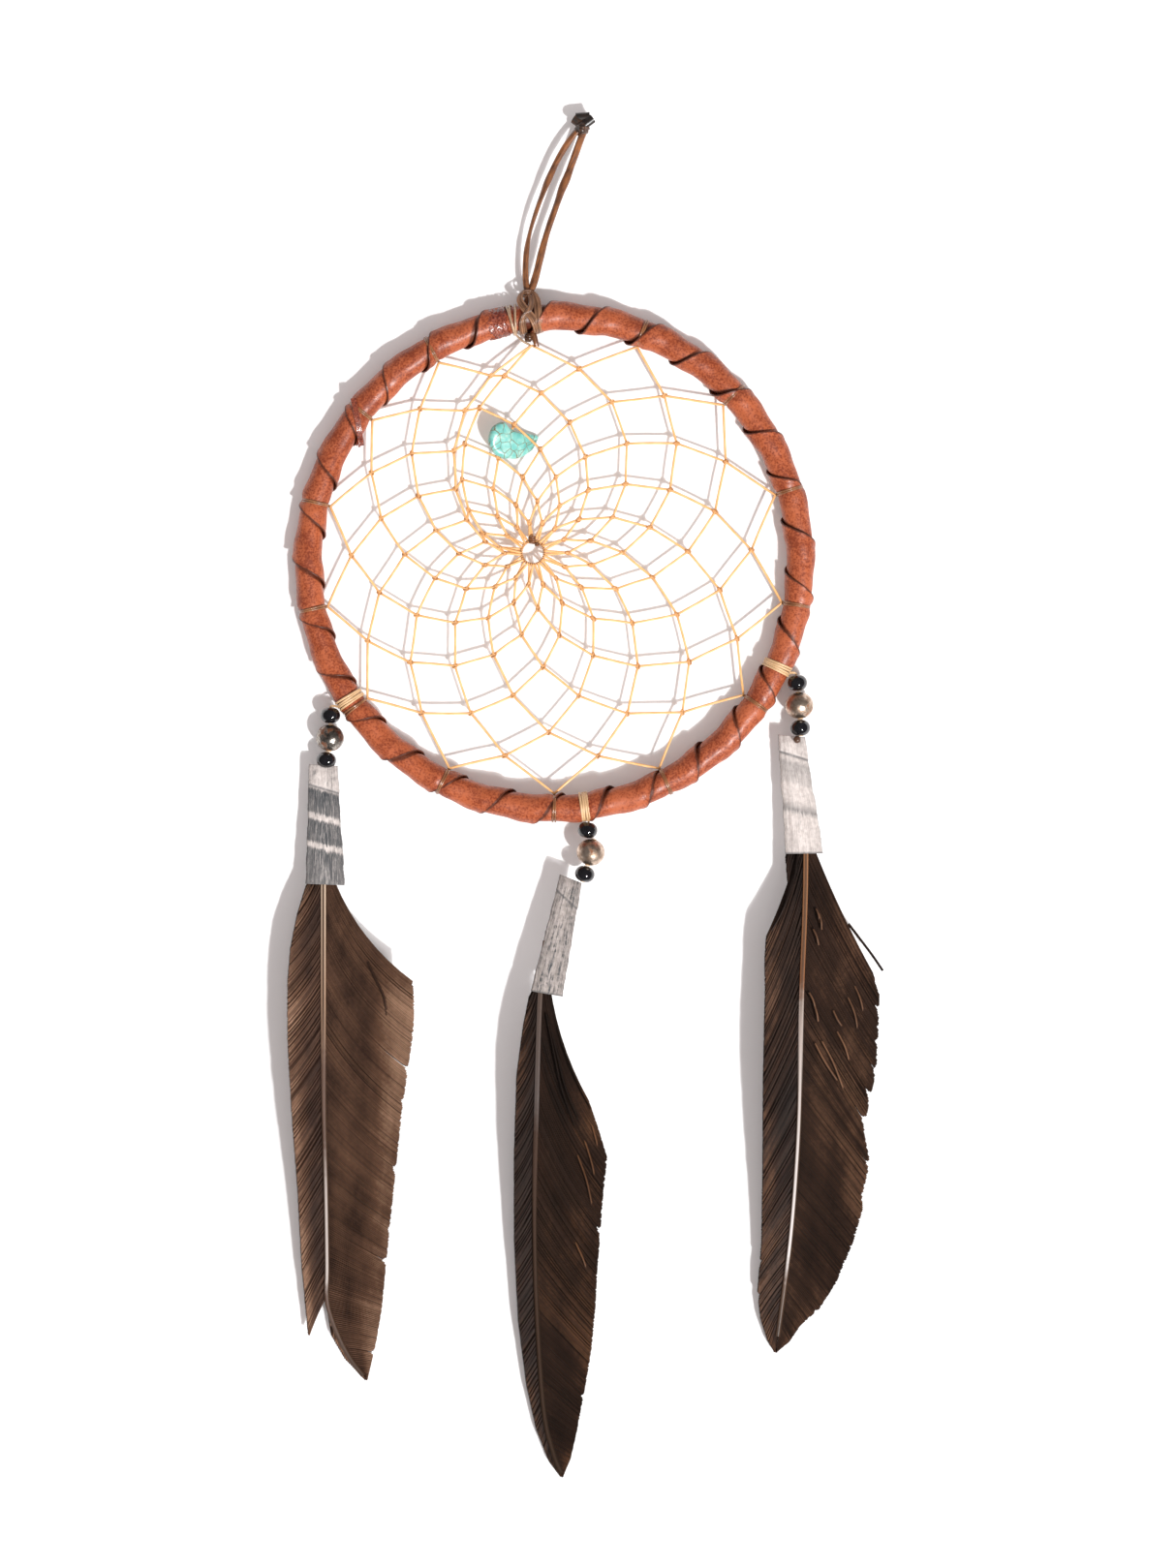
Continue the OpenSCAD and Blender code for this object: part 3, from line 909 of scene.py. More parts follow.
def place(piece: bpy.types.Object, body: str, slot: str, *nodes: str) -> None:
    """Fix a piece to its body and hide the CAD nodes that it stands for.

    Args:
        piece: the piece.
        body: the CAD body that it rides on.
        slot: the record's material slot; not used.
        nodes: the CAD nodes that it replaces.
    """
    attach(piece, body)
    if nodes:
        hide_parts(*nodes)
    LOG.info("%s: %d faces, rides on %s", piece.name, len(piece.data.polygons), body)


# ---- the hoop


@dataclass
class Hoop:
    """The wire ring's leather wrap, its glued end, its tail and the threads on it.

    Sizes are in millimetres and angles in degrees, clockwise from the top.
    """

    centre: Point = (-5.2, -86.2)
    radius: float = 49.3
    skin: float = 2.66
    lap: float = 0.42
    turns: int = 29
    start: float = -11.6
    sweep: float = 357.2
    overlap: float = 1.22
    end_span: tuple[float, float] = (-15.4, -10.7)
    hitches: tuple[float, ...] = (-30, -52, -76, -101, -126, -153, -180, -207, -235, -260, -287, -313, -339)
    hitch_pitch: float = 0.42
    hitch_radius: float = 2.74
    start_radius: float = 3.05

    def at(self, angle: np.ndarray | float, radius: np.ndarray | float, depth: np.ndarray | float = 0.0) -> np.ndarray:
        """Give the point at an angle in degrees and a radius from the hoop's centre."""
        a = np.radians(np.asarray(angle, float))
        x = self.centre[0] + radius * np.sin(a)
        z = self.centre[1] + radius * np.cos(a)
        return np.stack(np.broadcast_arrays(x, np.asarray(depth, float), z), axis=-1)

    def around_tube(self, angle: np.ndarray | float, turn: np.ndarray, radius: np.ndarray | float) -> np.ndarray:
        """Give points round the tube: turn is 0 at the outer edge, then front, inner edge, back, in radians."""
        return self.at(angle, self.radius + radius * np.cos(turn), -radius * np.sin(turn))

    def wound_tree(self) -> bpy.types.NodeTree:
        """Build the tree that winds a flat strip round the ring.

        Returns:
            A tree with the inputs Turns, Hoop Radius, Tube Radius, Lap, Overlap, Start, Sweep, Steps and Material.
        """
        numbers = ("Turns", "Hoop Radius", "Tube Radius", "Lap", "Overlap", "Start", "Sweep")
        inputs = {"Geometry": SHAPE, **dict.fromkeys(numbers, NUMBER), "Steps": COUNT, "Material": STUFF}
        bench, wires = Bench.open("wound_strip", inputs, {"Geometry": SHAPE}, "GeometryNodeTree")
        turns, ring, tube, lap, overlap, start, sweep, steps, stuff = wires[1:]
        strip = bench.add(
            "GeometryNodeMeshCube", {"Size": (1.0, 1.0, 1.0), "Vertices X": steps, "Vertices Y": 19, "Vertices Z": 2}
        )
        flat = bench.tree.nodes.new("ShaderNodeSeparateXYZ")
        bench.put(bench.add("GeometryNodeInputPosition"), flat, 0)
        run, side, layer = (Wire(bench.tree, flat.outputs[i]) for i in range(3))
        run = run + 0.5
        across = (side + 0.5).math("POWER", 1.5)
        run_turns = run * turns
        slow = bench.noise(bench.join(run_turns * 1.0, across * 0.7, 3.0), 0.9, 2.0)
        quick = bench.noise(bench.join(run_turns * 6.0, across * 4.0, 9.0), 1.0, 3.0)
        angle = start + sweep * ((run_turns + across * overlap + (slow - 0.5) * 0.25 + (quick - 0.5) * 0.02) / turns)
        on_top = bench.span(across, 0.16, 0.46, 1.0, 0.0)
        under = bench.span(across, 0.8, 0.86, 0.0, 1.0)
        lip = bench.span(across, 0.015, 0.075, 0.13, 0.0)
        radius = tube + lap * on_top * (slow * 1.2 + 0.4) + lip + layer * 0.3 - 0.15 - under * 0.3
        radius = radius + (slow - 0.5) * 0.14 + (quick - 0.5) * 0.06
        turn = run_turns * TURN + 0.6
        reach = ring + radius * turn.math("COSINE")
        bent = bench.join(
            reach * angle.math("SINE") * MM, radius * turn.math("SINE") * MM, reach * angle.math("COSINE") * MM
        )
        marked = bench.add(
            "GeometryNodeStoreNamedAttribute", {"Geometry": strip, "Name": "across", "Value": across},
            data_type="FLOAT", domain="POINT",
        )
        wound = bench.add("GeometryNodeSetPosition", {"Geometry": marked, "Position": bent})
        middle = (self.centre[0] * MM, 0.0, self.centre[1] * MM)
        wound = bench.add("GeometryNodeTransform", {"Geometry": wound, "Translation": middle})
        return bench.close_shape(wound, stuff)

    def make_wrap(self, bands: Sequence[float]) -> None:
        """Wind the leather strip round the ring.

        Args:
            bands: the angles at which a thread presses into the leather.
        """
        base = set_out("Leather_wrap", bpy.data.meshes.new("Leather_wrap"))
        sizes = {
            "Turns": float(self.turns), "Hoop Radius": self.radius, "Tube Radius": self.skin, "Lap": self.lap,
            "Overlap": self.overlap, "Start": math.radians(self.start), "Sweep": math.radians(self.sweep),
            "Steps": self.turns * 44, "Material": RACK.get(LACING),
        }
        wrap = grown(base, self.wound_tree(), sizes)
        self.press(wrap, bands)
        outward(wrap)
        place(wrap, "hoop", "wrap_leather", "leather_wrap")

    def press(self, wrap: bpy.types.Object, bands: Sequence[float]) -> None:
        """Press the wrap in a little under each band of thread.

        Args:
            wrap: the wrap.
            bands: the bands' angles, in degrees.
        """
        count = len(wrap.data.vertices)
        flat = np.empty(count * 3)
        wrap.data.vertices.foreach_get("co", flat)
        points = flat.reshape(-1, 3) / MM
        dx, dz = points[:, 0] - self.centre[0], points[:, 2] - self.centre[1]
        angle = np.degrees(np.arctan2(dx, dz))
        out = np.hypot(dx, dz)
        wire = self.at(angle, self.radius)
        arm = points - wire
        size = np.linalg.norm(arm, axis=1)
        dent = np.zeros(count)
        for band in bands:
            away = (angle - band + 180) % 360 - 180
            dent = np.maximum(dent, np.exp(-((away * math.radians(1) * out / 0.75) ** 2)))
        target = size - dent * np.clip(size - 2.42, 0, 0.5) * 0.85
        points = wire + arm * (target / size)[:, None]
        wrap.data.vertices.foreach_set("co", (points * MM).ravel())
        wrap.data.update()

    def make_end(self) -> None:
        """Make the strip's torn and glued end, which covers where the wrap starts and stops."""
        rng = np.random.default_rng(7)
        rows, columns = 26, 56
        bag = MeshBag()
        turn = np.linspace(0, TURN, columns, endpoint=False)
        torn_left = rng.normal(0, 0.5, columns) + 0.7 * np.sin(3 * turn)
        torn_right = rng.normal(0, 0.14, columns) + 0.25 * np.sin(2 * turn + 1)
        lumps = rng.normal(0, 1, (rows, columns))
        for _ in range(2):
            lumps = (lumps + np.roll(lumps, 1, 1) + np.roll(lumps, -1, 1) + np.roll(lumps, 1, 0)) / 3.2
        rings = []
        for i in range(rows):
            share = i / (rows - 1)
            left = self.end_span[0] + torn_left * 0.9
            right = self.end_span[1] + torn_right
            angle = left + (right - left) * share
            ends = min(share, 1 - share) * 9
            height = 2.3 + 0.82 * min(1.0, ends) ** 0.5 + lumps[i] * 0.12 * min(1.0, ends) - 0.12 * share
            rings.append(self.around_tube(angle, turn, height))
        bag.put(np.concatenate(rings), grid_faces(rows, columns))
        end = bag.make("Leather_end", FRAYED)
        thicken(end, 0.25)
        place(end, "hoop", "wrap_leather", "leather_end")

    def make_tail(self) -> None:
        """Make the frayed tail of the strip that stands inward from the ring."""
        rng = np.random.default_rng(11)
        threads = Strands(0.46, 0.28, 6)
        route = [
            (-45.4, -2.0, -53.4), (-44.7, -3.0, -57.0), (-44.2, -2.3, -60.0), (-44.0, -1.3, -62.0),
            (-44.1, -0.9, -62.9),
        ]
        for k in range(8):
            side = (k % 4 - 1.5) * 0.26
            lift = -0.2 * (k // 4)
            line = smooth_line(route, 26) + np.array([side, lift, 0.12 * side])
            fray = np.clip(np.linspace(-3.2, 1, 26), 0, 1) ** 2
            spread = np.array([rng.uniform(-0.5, 0.6), rng.uniform(-0.3, 0.3), rng.uniform(-0.3, 0.4)])
            line = line + fray[:, None] * spread
            threads.line(line, girth=1.1 - 0.4 * fray)
        tail = threads.make("Wrap_tail", FRAYED)
        place(tail, "hoop", "wrap_leather", "wrap_tail")

    def make_bands(self, start_angles: Sequence[float]) -> None:
        """Bind the hitches round the leather, and the web's first turns beside the head.

        Args:
            start_angles: the angles of the first turns.
        """
        rng = np.random.default_rng(5)
        turn = np.linspace(0, TURN, 33)
        bands = Strands(0.42, 0.2, 6)
        for angle in self.hitches:
            for k in (-0.5, 0.5):
                tilt = rng.uniform(-0.3, 0.3)
                lie = angle + k * self.hitch_pitch + tilt * np.cos(turn) * 0.6
                out = self.around_tube(lie, turn, self.hitch_radius + 0.03 * np.sin(3 * turn + angle))
                facing = out - self.at(lie, self.radius)
                bands.line(out, facing=unit(facing))
            tip = self.at([angle, angle + 0.3, angle + 0.2], self.radius - np.array([2.75, 3.1, 3.4]))
            bands.line(tip, girth=np.array([1.2, 1.0, 0.6]), knot=0.0)
        bands.marks.clear()
        place(bands.make("Hitch_bands", HITCH_SINEW), "hoop", "gold_sinew", "web_hitches")
        first = Strands(0.5, 0.24, 6)
        for k, angle in enumerate(start_angles):
            lie = angle + 0.45 * np.cos(turn + 1.7 * k)
            out = self.around_tube(lie, turn, self.start_radius)
            facing = out - self.at(lie, self.radius)
            first.line(out, facing=unit(facing))
        lead = self.at([-9.5, -8.2, -6.4], self.radius - np.array([3.1, 4.4, 5.4]), [-0.5, -0.3, 0.0])
        first.line(smooth_line(lead, 10), girth=1.2)
        place(first.make("Start_turns", START_SINEW), "hoop", "gold_sinew", "start_turns")


def outward(piece: bpy.types.Object) -> None:
    """Turn every face of a closed mesh outwards."""
    cloth = bmesh.new()
    cloth.from_mesh(piece.data)
    bmesh.ops.remove_doubles(cloth, verts=cloth.verts, dist=1e-7)
    bmesh.ops.recalc_face_normals(cloth, faces=cloth.faces)
    cloth.to_mesh(piece.data)
    cloth.free()
    piece.data.shade_smooth()


def thicken(piece: bpy.types.Object, thickness: float) -> None:
    """Give a single sheet a thickness inwards, in millimetres, and keep it as plain mesh."""
    outward(piece)
    wall = piece.modifiers.new("wall", "SOLIDIFY")
    wall.thickness = thickness * MM
    wall.offset = -1.0
    found = piece.evaluated_get(bpy.context.evaluated_depsgraph_get())
    mesh = bpy.data.meshes.new_from_object(found)
    piece.modifiers.remove(wall)
    piece.data = mesh
    mesh.shade_smooth()


# ---- the web


@dataclass
class Web:
    """One strand of sinew hitched round and round into the hub. Sizes in millimetres."""

    hoop: Hoop
    first_radius: float = 43.8
    inner_radius: float = 46.3
    share: float = 0.494
    pulls: tuple[float, ...] = (0.89, 0.885, 0.84, 0.8, 0.76, 0.68, 0.6)
    closing_share: float = 0.7
    closing_pull: float = 0.95
    hub: Point = (-4.3, 2.0)
    hub_radius: float = 2.35
    strand: float = 0.5
    knot_reach: float = 0.8
    hub_spread: float = 0.16
    round_count: int = 15
    node_count: int = 120

    def nodes(self) -> np.ndarray:
        """Work out the knots' places in the web's plane.

        Returns:
            The (x, z) of every knot, from the hoop inwards.
        """
        angles = (-6, *self.hoop.hitches)
        radii = [self.first_radius] + [self.inner_radius] * len(self.hoop.hitches)
        hub = np.array(self.hub)
        found = [r * np.array([math.sin(math.radians(a)), math.cos(math.radians(a))]) for a, r in zip(angles, radii)]
        found.append(found[0])
        for n in range(self.round_count, self.node_count):
            share, pull = self.share, self.pulls[n // self.round_count - 1]
            if n % self.round_count == self.round_count - 1:
                share, pull = self.closing_share, self.closing_pull
            between = (1 - share) * found[n - self.round_count] + share * found[n - self.round_count + 1]
            found.append(hub + pull * (between - hub))
        return np.array(found) + np.array(self.hoop.centre)

    def make(self) -> None:
        """Make the strands, the knots and the hub."""
        rng = np.random.default_rng(3)
        nodes = self.nodes()
        strands = Strands(self.strand, self.strand * 0.8, 8)
        last = self.node_count - self.round_count
        spread = np.linspace(0, 1, 7)
        for i in range(last):
            for a, b in ((i, i + self.round_count), (i + self.round_count, i + 1)):
                line = nodes[a] + (nodes[b] - nodes[a]) * spread[:, None]
                run = np.linalg.norm(nodes[b] - nodes[a])
                side = np.array([-(nodes[b] - nodes[a])[1], (nodes[b] - nodes[a])[0]]) / max(run, 0.01)
                line = line + side * (rng.uniform(-0.1, 0.1) * np.sin(spread * math.pi))[:, None]
                depth = rng.uniform(-0.08, 0.08) * np.sin(spread * math.pi)
                lean = rng.uniform(-0.5, 0.5)
                near = sum(np.exp(-(way * run / self.knot_reach) ** 2) for way in (spread, 1 - spread))
                strands.line(
                    flat_to_space(line, depth), facing=(lean * side[0], -1.0, lean * side[1]),
                    girth=1.0 + 0.12 * rng.uniform(-1, 1), knot=np.clip(near, 0, 1) * 0.45,
                )
        centre = np.array(self.hoop.centre) + np.array(self.hub)
        for i in range(last, self.node_count):
            for side in (-1, 1):
                foot = nodes[i] - centre
                turned = math.atan2(foot[0], foot[1]) + side * self.hub_spread
                rim = centre + self.hub_radius * np.array([math.sin(turned), math.cos(turned)])
                line = nodes[i] + (rim - nodes[i]) * spread[:, None]
                strands.line(flat_to_space(line, side * 0.12), girth=1.05, knot=0.15)
        web = strands.make("Web_strands", WEB_SINEW)
        place(web, "hoop", "gold_sinew", "web")
        self.make_knots(nodes, rng)
        self.make_hub(centre)

    def make_knots(self, nodes: np.ndarray, rng: np.random.Generator) -> None:
        """Tie a half hitch at every crossing.

        Args:
            nodes: the knots' places.
            rng: the generator for their small turns.
        """
        turns = Strands(0.36, 0.3, 5)
        t = np.linspace(0, 1, 11)
        for n in range(self.round_count, self.node_count):
            back = nodes[max(n - self.round_count, 0)] - nodes[n]
            lie = math.atan2(back[1], back[0]) + rng.uniform(-0.4, 0.4) + 0.5
            size = 0.44 * rng.uniform(0.9, 1.15)
            u = size * 1.25 * np.cos(t * TURN * 1.35)
            v = size * 0.75 * np.sin(t * TURN * 1.35)
            x = nodes[n][0] + u * math.cos(lie) - v * math.sin(lie)
            z = nodes[n][1] + u * math.sin(lie) + v * math.cos(lie)
            turns.line(np.stack([x, 0.34 * np.sin(t * TURN * 2), z], axis=1), knot=0.55 + 0.25 * rng.uniform(-1, 1))
        knots = turns.make("Web_knots", WEB_SINEW)
        place(knots, "hoop", "gold_sinew")

    def make_hub(self, centre: np.ndarray) -> None:
        """Wind the hub ring and tie the strand off on its top.

        Args:
            centre: the hub's centre in the web's plane.
        """
        t = np.linspace(0, 1, 480)
        ring, coil = t * TURN, t * TURN * 34
        radius = self.hub_radius + 0.25 * np.cos(coil)
        wound = np.stack(
            [centre[0] + radius * np.sin(ring), 0.3 * np.sin(coil), centre[1] + radius * np.cos(ring)], axis=1
        )
        hub = Strands(0.28, 0.24, 6)
        hub.line(wound, knot=0.45)
        core = np.stack([centre[0] + self.hub_radius * np.sin(ring[::12]), ring[::12] * 0,
                         centre[1] + self.hub_radius * np.cos(ring[::12])], axis=1)
        hub.line(core, girth=1.7, knot=0.8)
        place(hub.make("Web_hub_ring", WEB_SINEW), "hoop", "gold_sinew")
        knot = Strands(0.5, 0.4, 6)
        top = centre + np.array([0.0, self.hub_radius])
        knot.line(coiled((top[0] - 0.1, -0.1, top[1] - 0.5), 0.7, 0.65, 1.3, 3, 60), knot=0.1)
        knot.line(coiled((top[0] + 0.85, 0.0, top[1] - 0.2), 0.3, 0.4, -0.8, 2, 60), girth=0.8, knot=0.1)
        place(knot.make("Hub_end_knot", BROWN_CORD), "hoop", "brown_cord", "hub_knot")


# ---- the stone


@dataclass
class StoneChip:
    """A tumbled turquoise chip, drilled across and threaded on one strand of the web."""

    web: Web
    outline: tuple[Point, ...] = (
        (-2.9, -2.6), (-3.7, -1.8), (-4.1, -0.8), (-4.1, 0.6), (-3.8, 1.8), (-2.6, 3.1), (-1, 3.8), (0.7, 3.8),
        (2, 3.4), (3.2, 2.9), (4.4, 2), (5.4, 0.9), (5.9, 0), (6.1, -1), (6.1, -2.3), (5.8, -3.3), (5.2, -3.4),
        (4.1, -3.1), (2.8, -2.8), (1.6, -2.4), (0.6, -2.2), (-0.4, -2.2), (-1.4, -2.4), (-2.2, -2.8),
    )
    thickness: float = 2.2
    turned: float = 30.0
    from_knot: float = 3.25
    strand_start: int = 58

    def make(self) -> None:
        """Make the chip on its strand."""
        nodes = self.web.nodes()
        start, end = nodes[self.strand_start], nodes[self.strand_start + self.web.round_count]
        way = (end - start) / np.linalg.norm(end - start)
        middle = start + way * self.from_knot
        down = np.array([way[0], 0.0, way[1]])
        across = np.array([-way[1], 0.0, way[0]])
        if across[0] < 0:
            across = -across
        c, s = math.cos(math.radians(self.turned)), math.sin(math.radians(self.turned))
        right = across * c + np.array([0.0, 1.0, 0.0]) * s
        face = np.cross(down, right)
        if face[1] > 0:
            face = -face
        edge = smooth_line([*self.outline, self.outline[0]], 97)[:-1]
        rng = np.random.default_rng(23)
        lumps = rng.normal(0, 1, len(edge))
        for _ in range(3):
            lumps = (np.roll(lumps, 1) + lumps + np.roll(lumps, -1)) / 2.4
        bag = MeshBag()
        middle_flat = edge.mean(axis=0)
        rings, levels = [], 17
        for k in range(levels):
            phi = -math.pi / 2 + math.pi * k / (levels - 1)
            inset = max(0.0, math.cos(phi)) ** 0.42
            height = math.copysign(abs(math.sin(phi)) ** 0.75, phi) * self.thickness / 2
            ring = middle_flat + (edge - middle_flat) * (0.02 + 0.98 * inset)
            ring = ring * (1 + 0.012 * lumps[:, None])
            bulge = height * (1 + 0.1 * np.sin(ring[:, 0] * 1.3) + 0.08 * np.cos(ring[:, 1] * 1.9))
            rings.append(
                np.array([middle[0], 0.0, middle[1]]) + ring[:, :1] * right + ring[:, 1:] * down + bulge[:, None] * face
            )
        bag.put(np.concatenate(rings), grid_faces(levels, len(edge)))
        bag.faces += caps(levels, len(edge))
        chip = bag.make("Turquoise_chip", STONE)
        outward(chip)
        place(chip, "stone", "turquoise", "stone")


# ---- the hanging loop


@dataclass
class HangingLoop:
    """The brown cord: its head on the hoop, two legs and the burnt knot. Sizes in millimetres."""

    hoop: Hoop
    left: tuple[Point, ...] = (
        (-10.6, -32.4), (-10.9, -30.1), (-11, -27.6), (-10.9, -25), (-10.6, -22.5), (-10.1, -20), (-9.4, -17.5),
        (-8.6, -15.1), (-7.7, -12.7), (-6.8, -10.4), (-5.8, -8.1), (-4.8, -5.9), (-3.7, -3.9), (-2.6, -2.2),
        (-1.5, -0.7), (-0.5, 0.5),
    )
    right: tuple[Point, ...] = (
        (-10.4, -32.3), (-9.6, -30.9), (-8.9, -28.6), (-8.1, -25.3), (-7.5, -22.9), (-6.8, -20.5), (-6, -18.1),
        (-5.2, -15.8), (-4.4, -13.5), (-3.6, -11.2), (-2.7, -9), (-1.9, -6.8), (-1.1, -4.7), (-0.4, -2.8),
        (0.2, -1.1), (0.8, 0.6),
    )
    head_angle: float = -5.8

    def make(self) -> None:
        """Make the knot first, then the legs that end in it, then the head."""
        knot = self.make_knot()
        self.make_leg("Loop_leg_left", self.left, 1.25, (0.75, 0.55), "loop_leg_left")
        self.make_leg("Loop_leg_right", self.right, 1.5, (0.6, -0.1), "loop_leg_right")
        self.make_head()

    def make_leg(
        self, name: str, route: tuple[Point, ...], width: float, twist: Point, node: str,
    ) -> None:
        """Make one leg as a flat twisted strand of waxed sinew.

        Args:
            name: the piece's name.
            route: its centreline from the head up to the knot.
            width: its greatest width.
            twist: the flat side's turn at its foot and its top, in radians.
            node: the CAD node that it replaces.
        """
        rows, columns = 90, 14
        line = flat_to_space(smooth_line(route, rows))
        tangent = np.gradient(line, axis=0)
        tangent /= np.linalg.norm(tangent, axis=1)[:, None]
        front = np.array([0.0, -1.0, 0.0])
        bag = MeshBag()
        share = np.linspace(0, 1, rows)
        turn = np.linspace(0, TURN, columns, endpoint=False)
        rings = []
        for i in range(rows):
            side = np.cross(tangent[i], front)
            lean = twist[0] + (twist[1] - twist[0]) * share[i] + 0.55 * math.sin(share[i] * 9 + twist[0] * 5)
            wide = side * math.cos(lean) + front * math.sin(lean)
            thick = np.cross(tangent[i], wide)
            w = width / 2 * (0.88 + 0.2 * share[i] + 0.08 * math.sin(share[i] * 13) + 0.05 * math.sin(share[i] * 31))
            grooves = 1 + 0.07 * np.cos(5 * turn + 0.4 * math.sin(share[i] * 20))
            ring = np.outer(np.cos(turn) * grooves * w, wide) + np.outer(np.sin(turn) * grooves * w * 0.7, thick)
            rings.append(line[i] + ring)
        points = np.concatenate(rings)
        along = np.repeat(share * 36, columns)
        around = np.tile(turn / TURN, rows)
        bag.put(points, grid_faces(rows, columns), along=along, around=around, knot=np.zeros(len(points)))
        bag.faces += caps(rows, columns)
        leg = bag.make(name, BROWN_CORD)
        outward(leg)
        place(leg, "hanging_loop", "brown_cord", node)

    def make_knot(self) -> bpy.types.Object:
        """Make the burnt overhand knot at the loop's top: two fused stubs, a lump and the turns below it."""
        up = 0.5 - 0.5 * np.cos(np.linspace(0.08, math.pi - 0.08, 18))
        blunt = np.sqrt(1 - (2 * up - 1) ** 4)
        knot = Strands(1.9, 1.75, 14)
        for start, end, girth, burnt in (
            ((-1.35, -0.1, 2.75), (0.9, 0.0, 1.2), 0.86, 0.1), ((2.45, -0.3, 2.8), (0.2, -0.2, 1.1), 1.05, 0.9),
            ((-0.9, 0.2, 3.05), (1.9, 0.1, 3.25), 0.62, 0.8),
        ):
            lump = np.array(start) + np.outer(up, np.array(end) - np.array(start))
            knot.line(lump, facing=(0.0, -1.0, 0.3), girth=blunt * girth, knot=burnt)
        s = np.linspace(0, 1, 60)
        turns = coiled((0.3, 0.0, 0.15), 0.75, 0.8, 1.3, 2.5, 60) + np.outer(s, (0.12, 0.0, 0.0))
        knot.line(turns, girth=0.36, knot=0.0)
        piece = knot.make("Loop_knot", BURNT_KNOT)
        place(piece, "hanging_loop", "brown_cord", "loop_knot")
        return piece

    def make_head(self) -> None:
        """Make the head that holds the loop on the hoop: bundles of flat strands that cross in front of the ring."""
        hoop = self.hoop
        angle = math.radians(self.head_angle)
        along = np.array([math.cos(angle), 0.0, -math.sin(angle)])
        out = np.array([math.sin(angle), 0.0, math.cos(angle)])
        ring = hoop.at(self.head_angle, hoop.radius)
        routes = (
            [(0.1, -0.2, 5.6), (-1.3, -1.1, 5.1), (-1.95, -2.1, 3.6), (-0.9, -3.0, 1.7), (0.7, -3.2, -0.2),
             (1.5, -2.6, -1.9), (1.6, -1.0, -3.0), (1.5, 1.0, -3.0), (1.2, 2.9, -0.9), (0.8, 2.8, 1.5),
             (0.1, 1.2, 3.6), (0.0, 0.3, 5.2)],
            [(-0.1, -0.2, 5.6), (1.5, -1.0, 5.0), (2.25, -2.1, 3.3), (2.3, -3.05, 1.0), (2.15, -3.0, -1.1),
             (2.3, -1.5, -2.8), (2.2, 0.8, -3.1), (1.9, 2.8, -1.1), (1.4, 2.8, 1.5), (0.5, 1.3, 3.6), (0.1, 0.3, 5.2)],
            [(0.3, -0.9, 4.9), (0.9, -2.2, 3.2), (0.2, -3.25, 1.5), (-1.2, -3.1, 0.3), (-1.9, -2.8, -1.2),
             (-1.8, -1.2, -2.9), (-1.6, 1.0, -3.0), (-1.3, 2.9, -0.8), (-0.9, 2.8, 1.5), (-0.3, 1.3, 3.6),
             (-0.1, 0.3, 5.2)],
        )
        strands = Strands(0.44, 0.22, 6)
        for number, route in enumerate(routes):
            line = smooth_line(route, 64)
            spread = np.clip(np.sin(np.linspace(0.12, math.pi - 0.12, 64)) * 1.6, 0, 1)
            for k in range(4):
                shift = (k - 1.5) * 0.37 * spread
                lift = 0.03 * ((k + number) % 2) * np.sign(line[:, 1])
                local = line * (0.8, 1.0, 1.0) + np.stack([shift, lift, 0.25 * shift], axis=1)
                points = ring + np.outer(local[:, 0], along) + np.outer(local[:, 2], out)
                points[:, 1] = local[:, 1] * 0.985
                facing = points - (ring + np.outer(local[:, 0], along))
                strands.line(points, facing=unit(facing), knot=0.3 * ((k + number) % 3) * spread)
        s = np.linspace(0, TURN, 40)
        for k in range(2):
            collar = ring + np.outer(1.15 * np.cos(s), along) + np.outer(4.7 + 0.45 * k + 0.3 * np.sin(s), out)
            collar[:, 1] = -1.15 * np.sin(s)
            strands.line(collar, facing=np.stack([np.cos(s), -np.sin(s), 0 * s], axis=1), knot=0.3)
        place(strands.make("Larks_head", HEAD_CORD), "head", "brown_cord", "larks_head")
        tail = Strands(1.1, 0.9, 8)
        foot = hoop.at(self.head_angle - 0.6, hoop.radius - 3.9, -0.6)
        tail.line(coiled(foot - [0.0, 0.0, 0.5], 0.55, 0.5, 0.9, 2, 40), knot=0.75)
        drop = foot + [(0.0, 0.0, 0.0), (0.9, -0.2, 0.5), (1.35, 0.0, -1.0), (1.5, 0.3, -1.9)]
        tail.line(smooth_line(drop, 16), girth=np.linspace(0.9, 0.4, 16), knot=0.1)
        place(tail.make("Head_tail_knot", BROWN_CORD), "head", "brown_cord")


# ---- pendants


@dataclass(frozen=True)
class Nick:
    """A break in a vane's edge: where along the edge, how deep and how wide, as shares."""

    at: float
    depth: float
    width: float
    open: float = 0.0


@dataclass(frozen=True)
class BarbRow:
    """A row of barbs from the shaft to an edge, both given as (x, z) points in millimetres."""

    root: tuple[Point, ...]
    edge: tuple[Point, ...]
    pitch: float = 0.5
    bow: tuple[float, float] = (0.06, 0.03)
    camber: float = -1.0
    rough: float = 0.015
    nicks: tuple[Nick, ...] = ()


@dataclass(frozen=True)
class FeatherShape:
    """A feather: its shaft's route and width, its rows of barbs, and its loose strands: barbs, pale specks and, on the
    middle feather, dark strands of painted shade.
    """

    shaft: tuple[Point, ...]
    widths: tuple[float, ...]
    rows: tuple[BarbRow, ...]
    loose: tuple[tuple[Point, ...], ...]
    vane: Finish
    quill: Finish
    curve: float = 2.0
    loose_width: float = 0.55


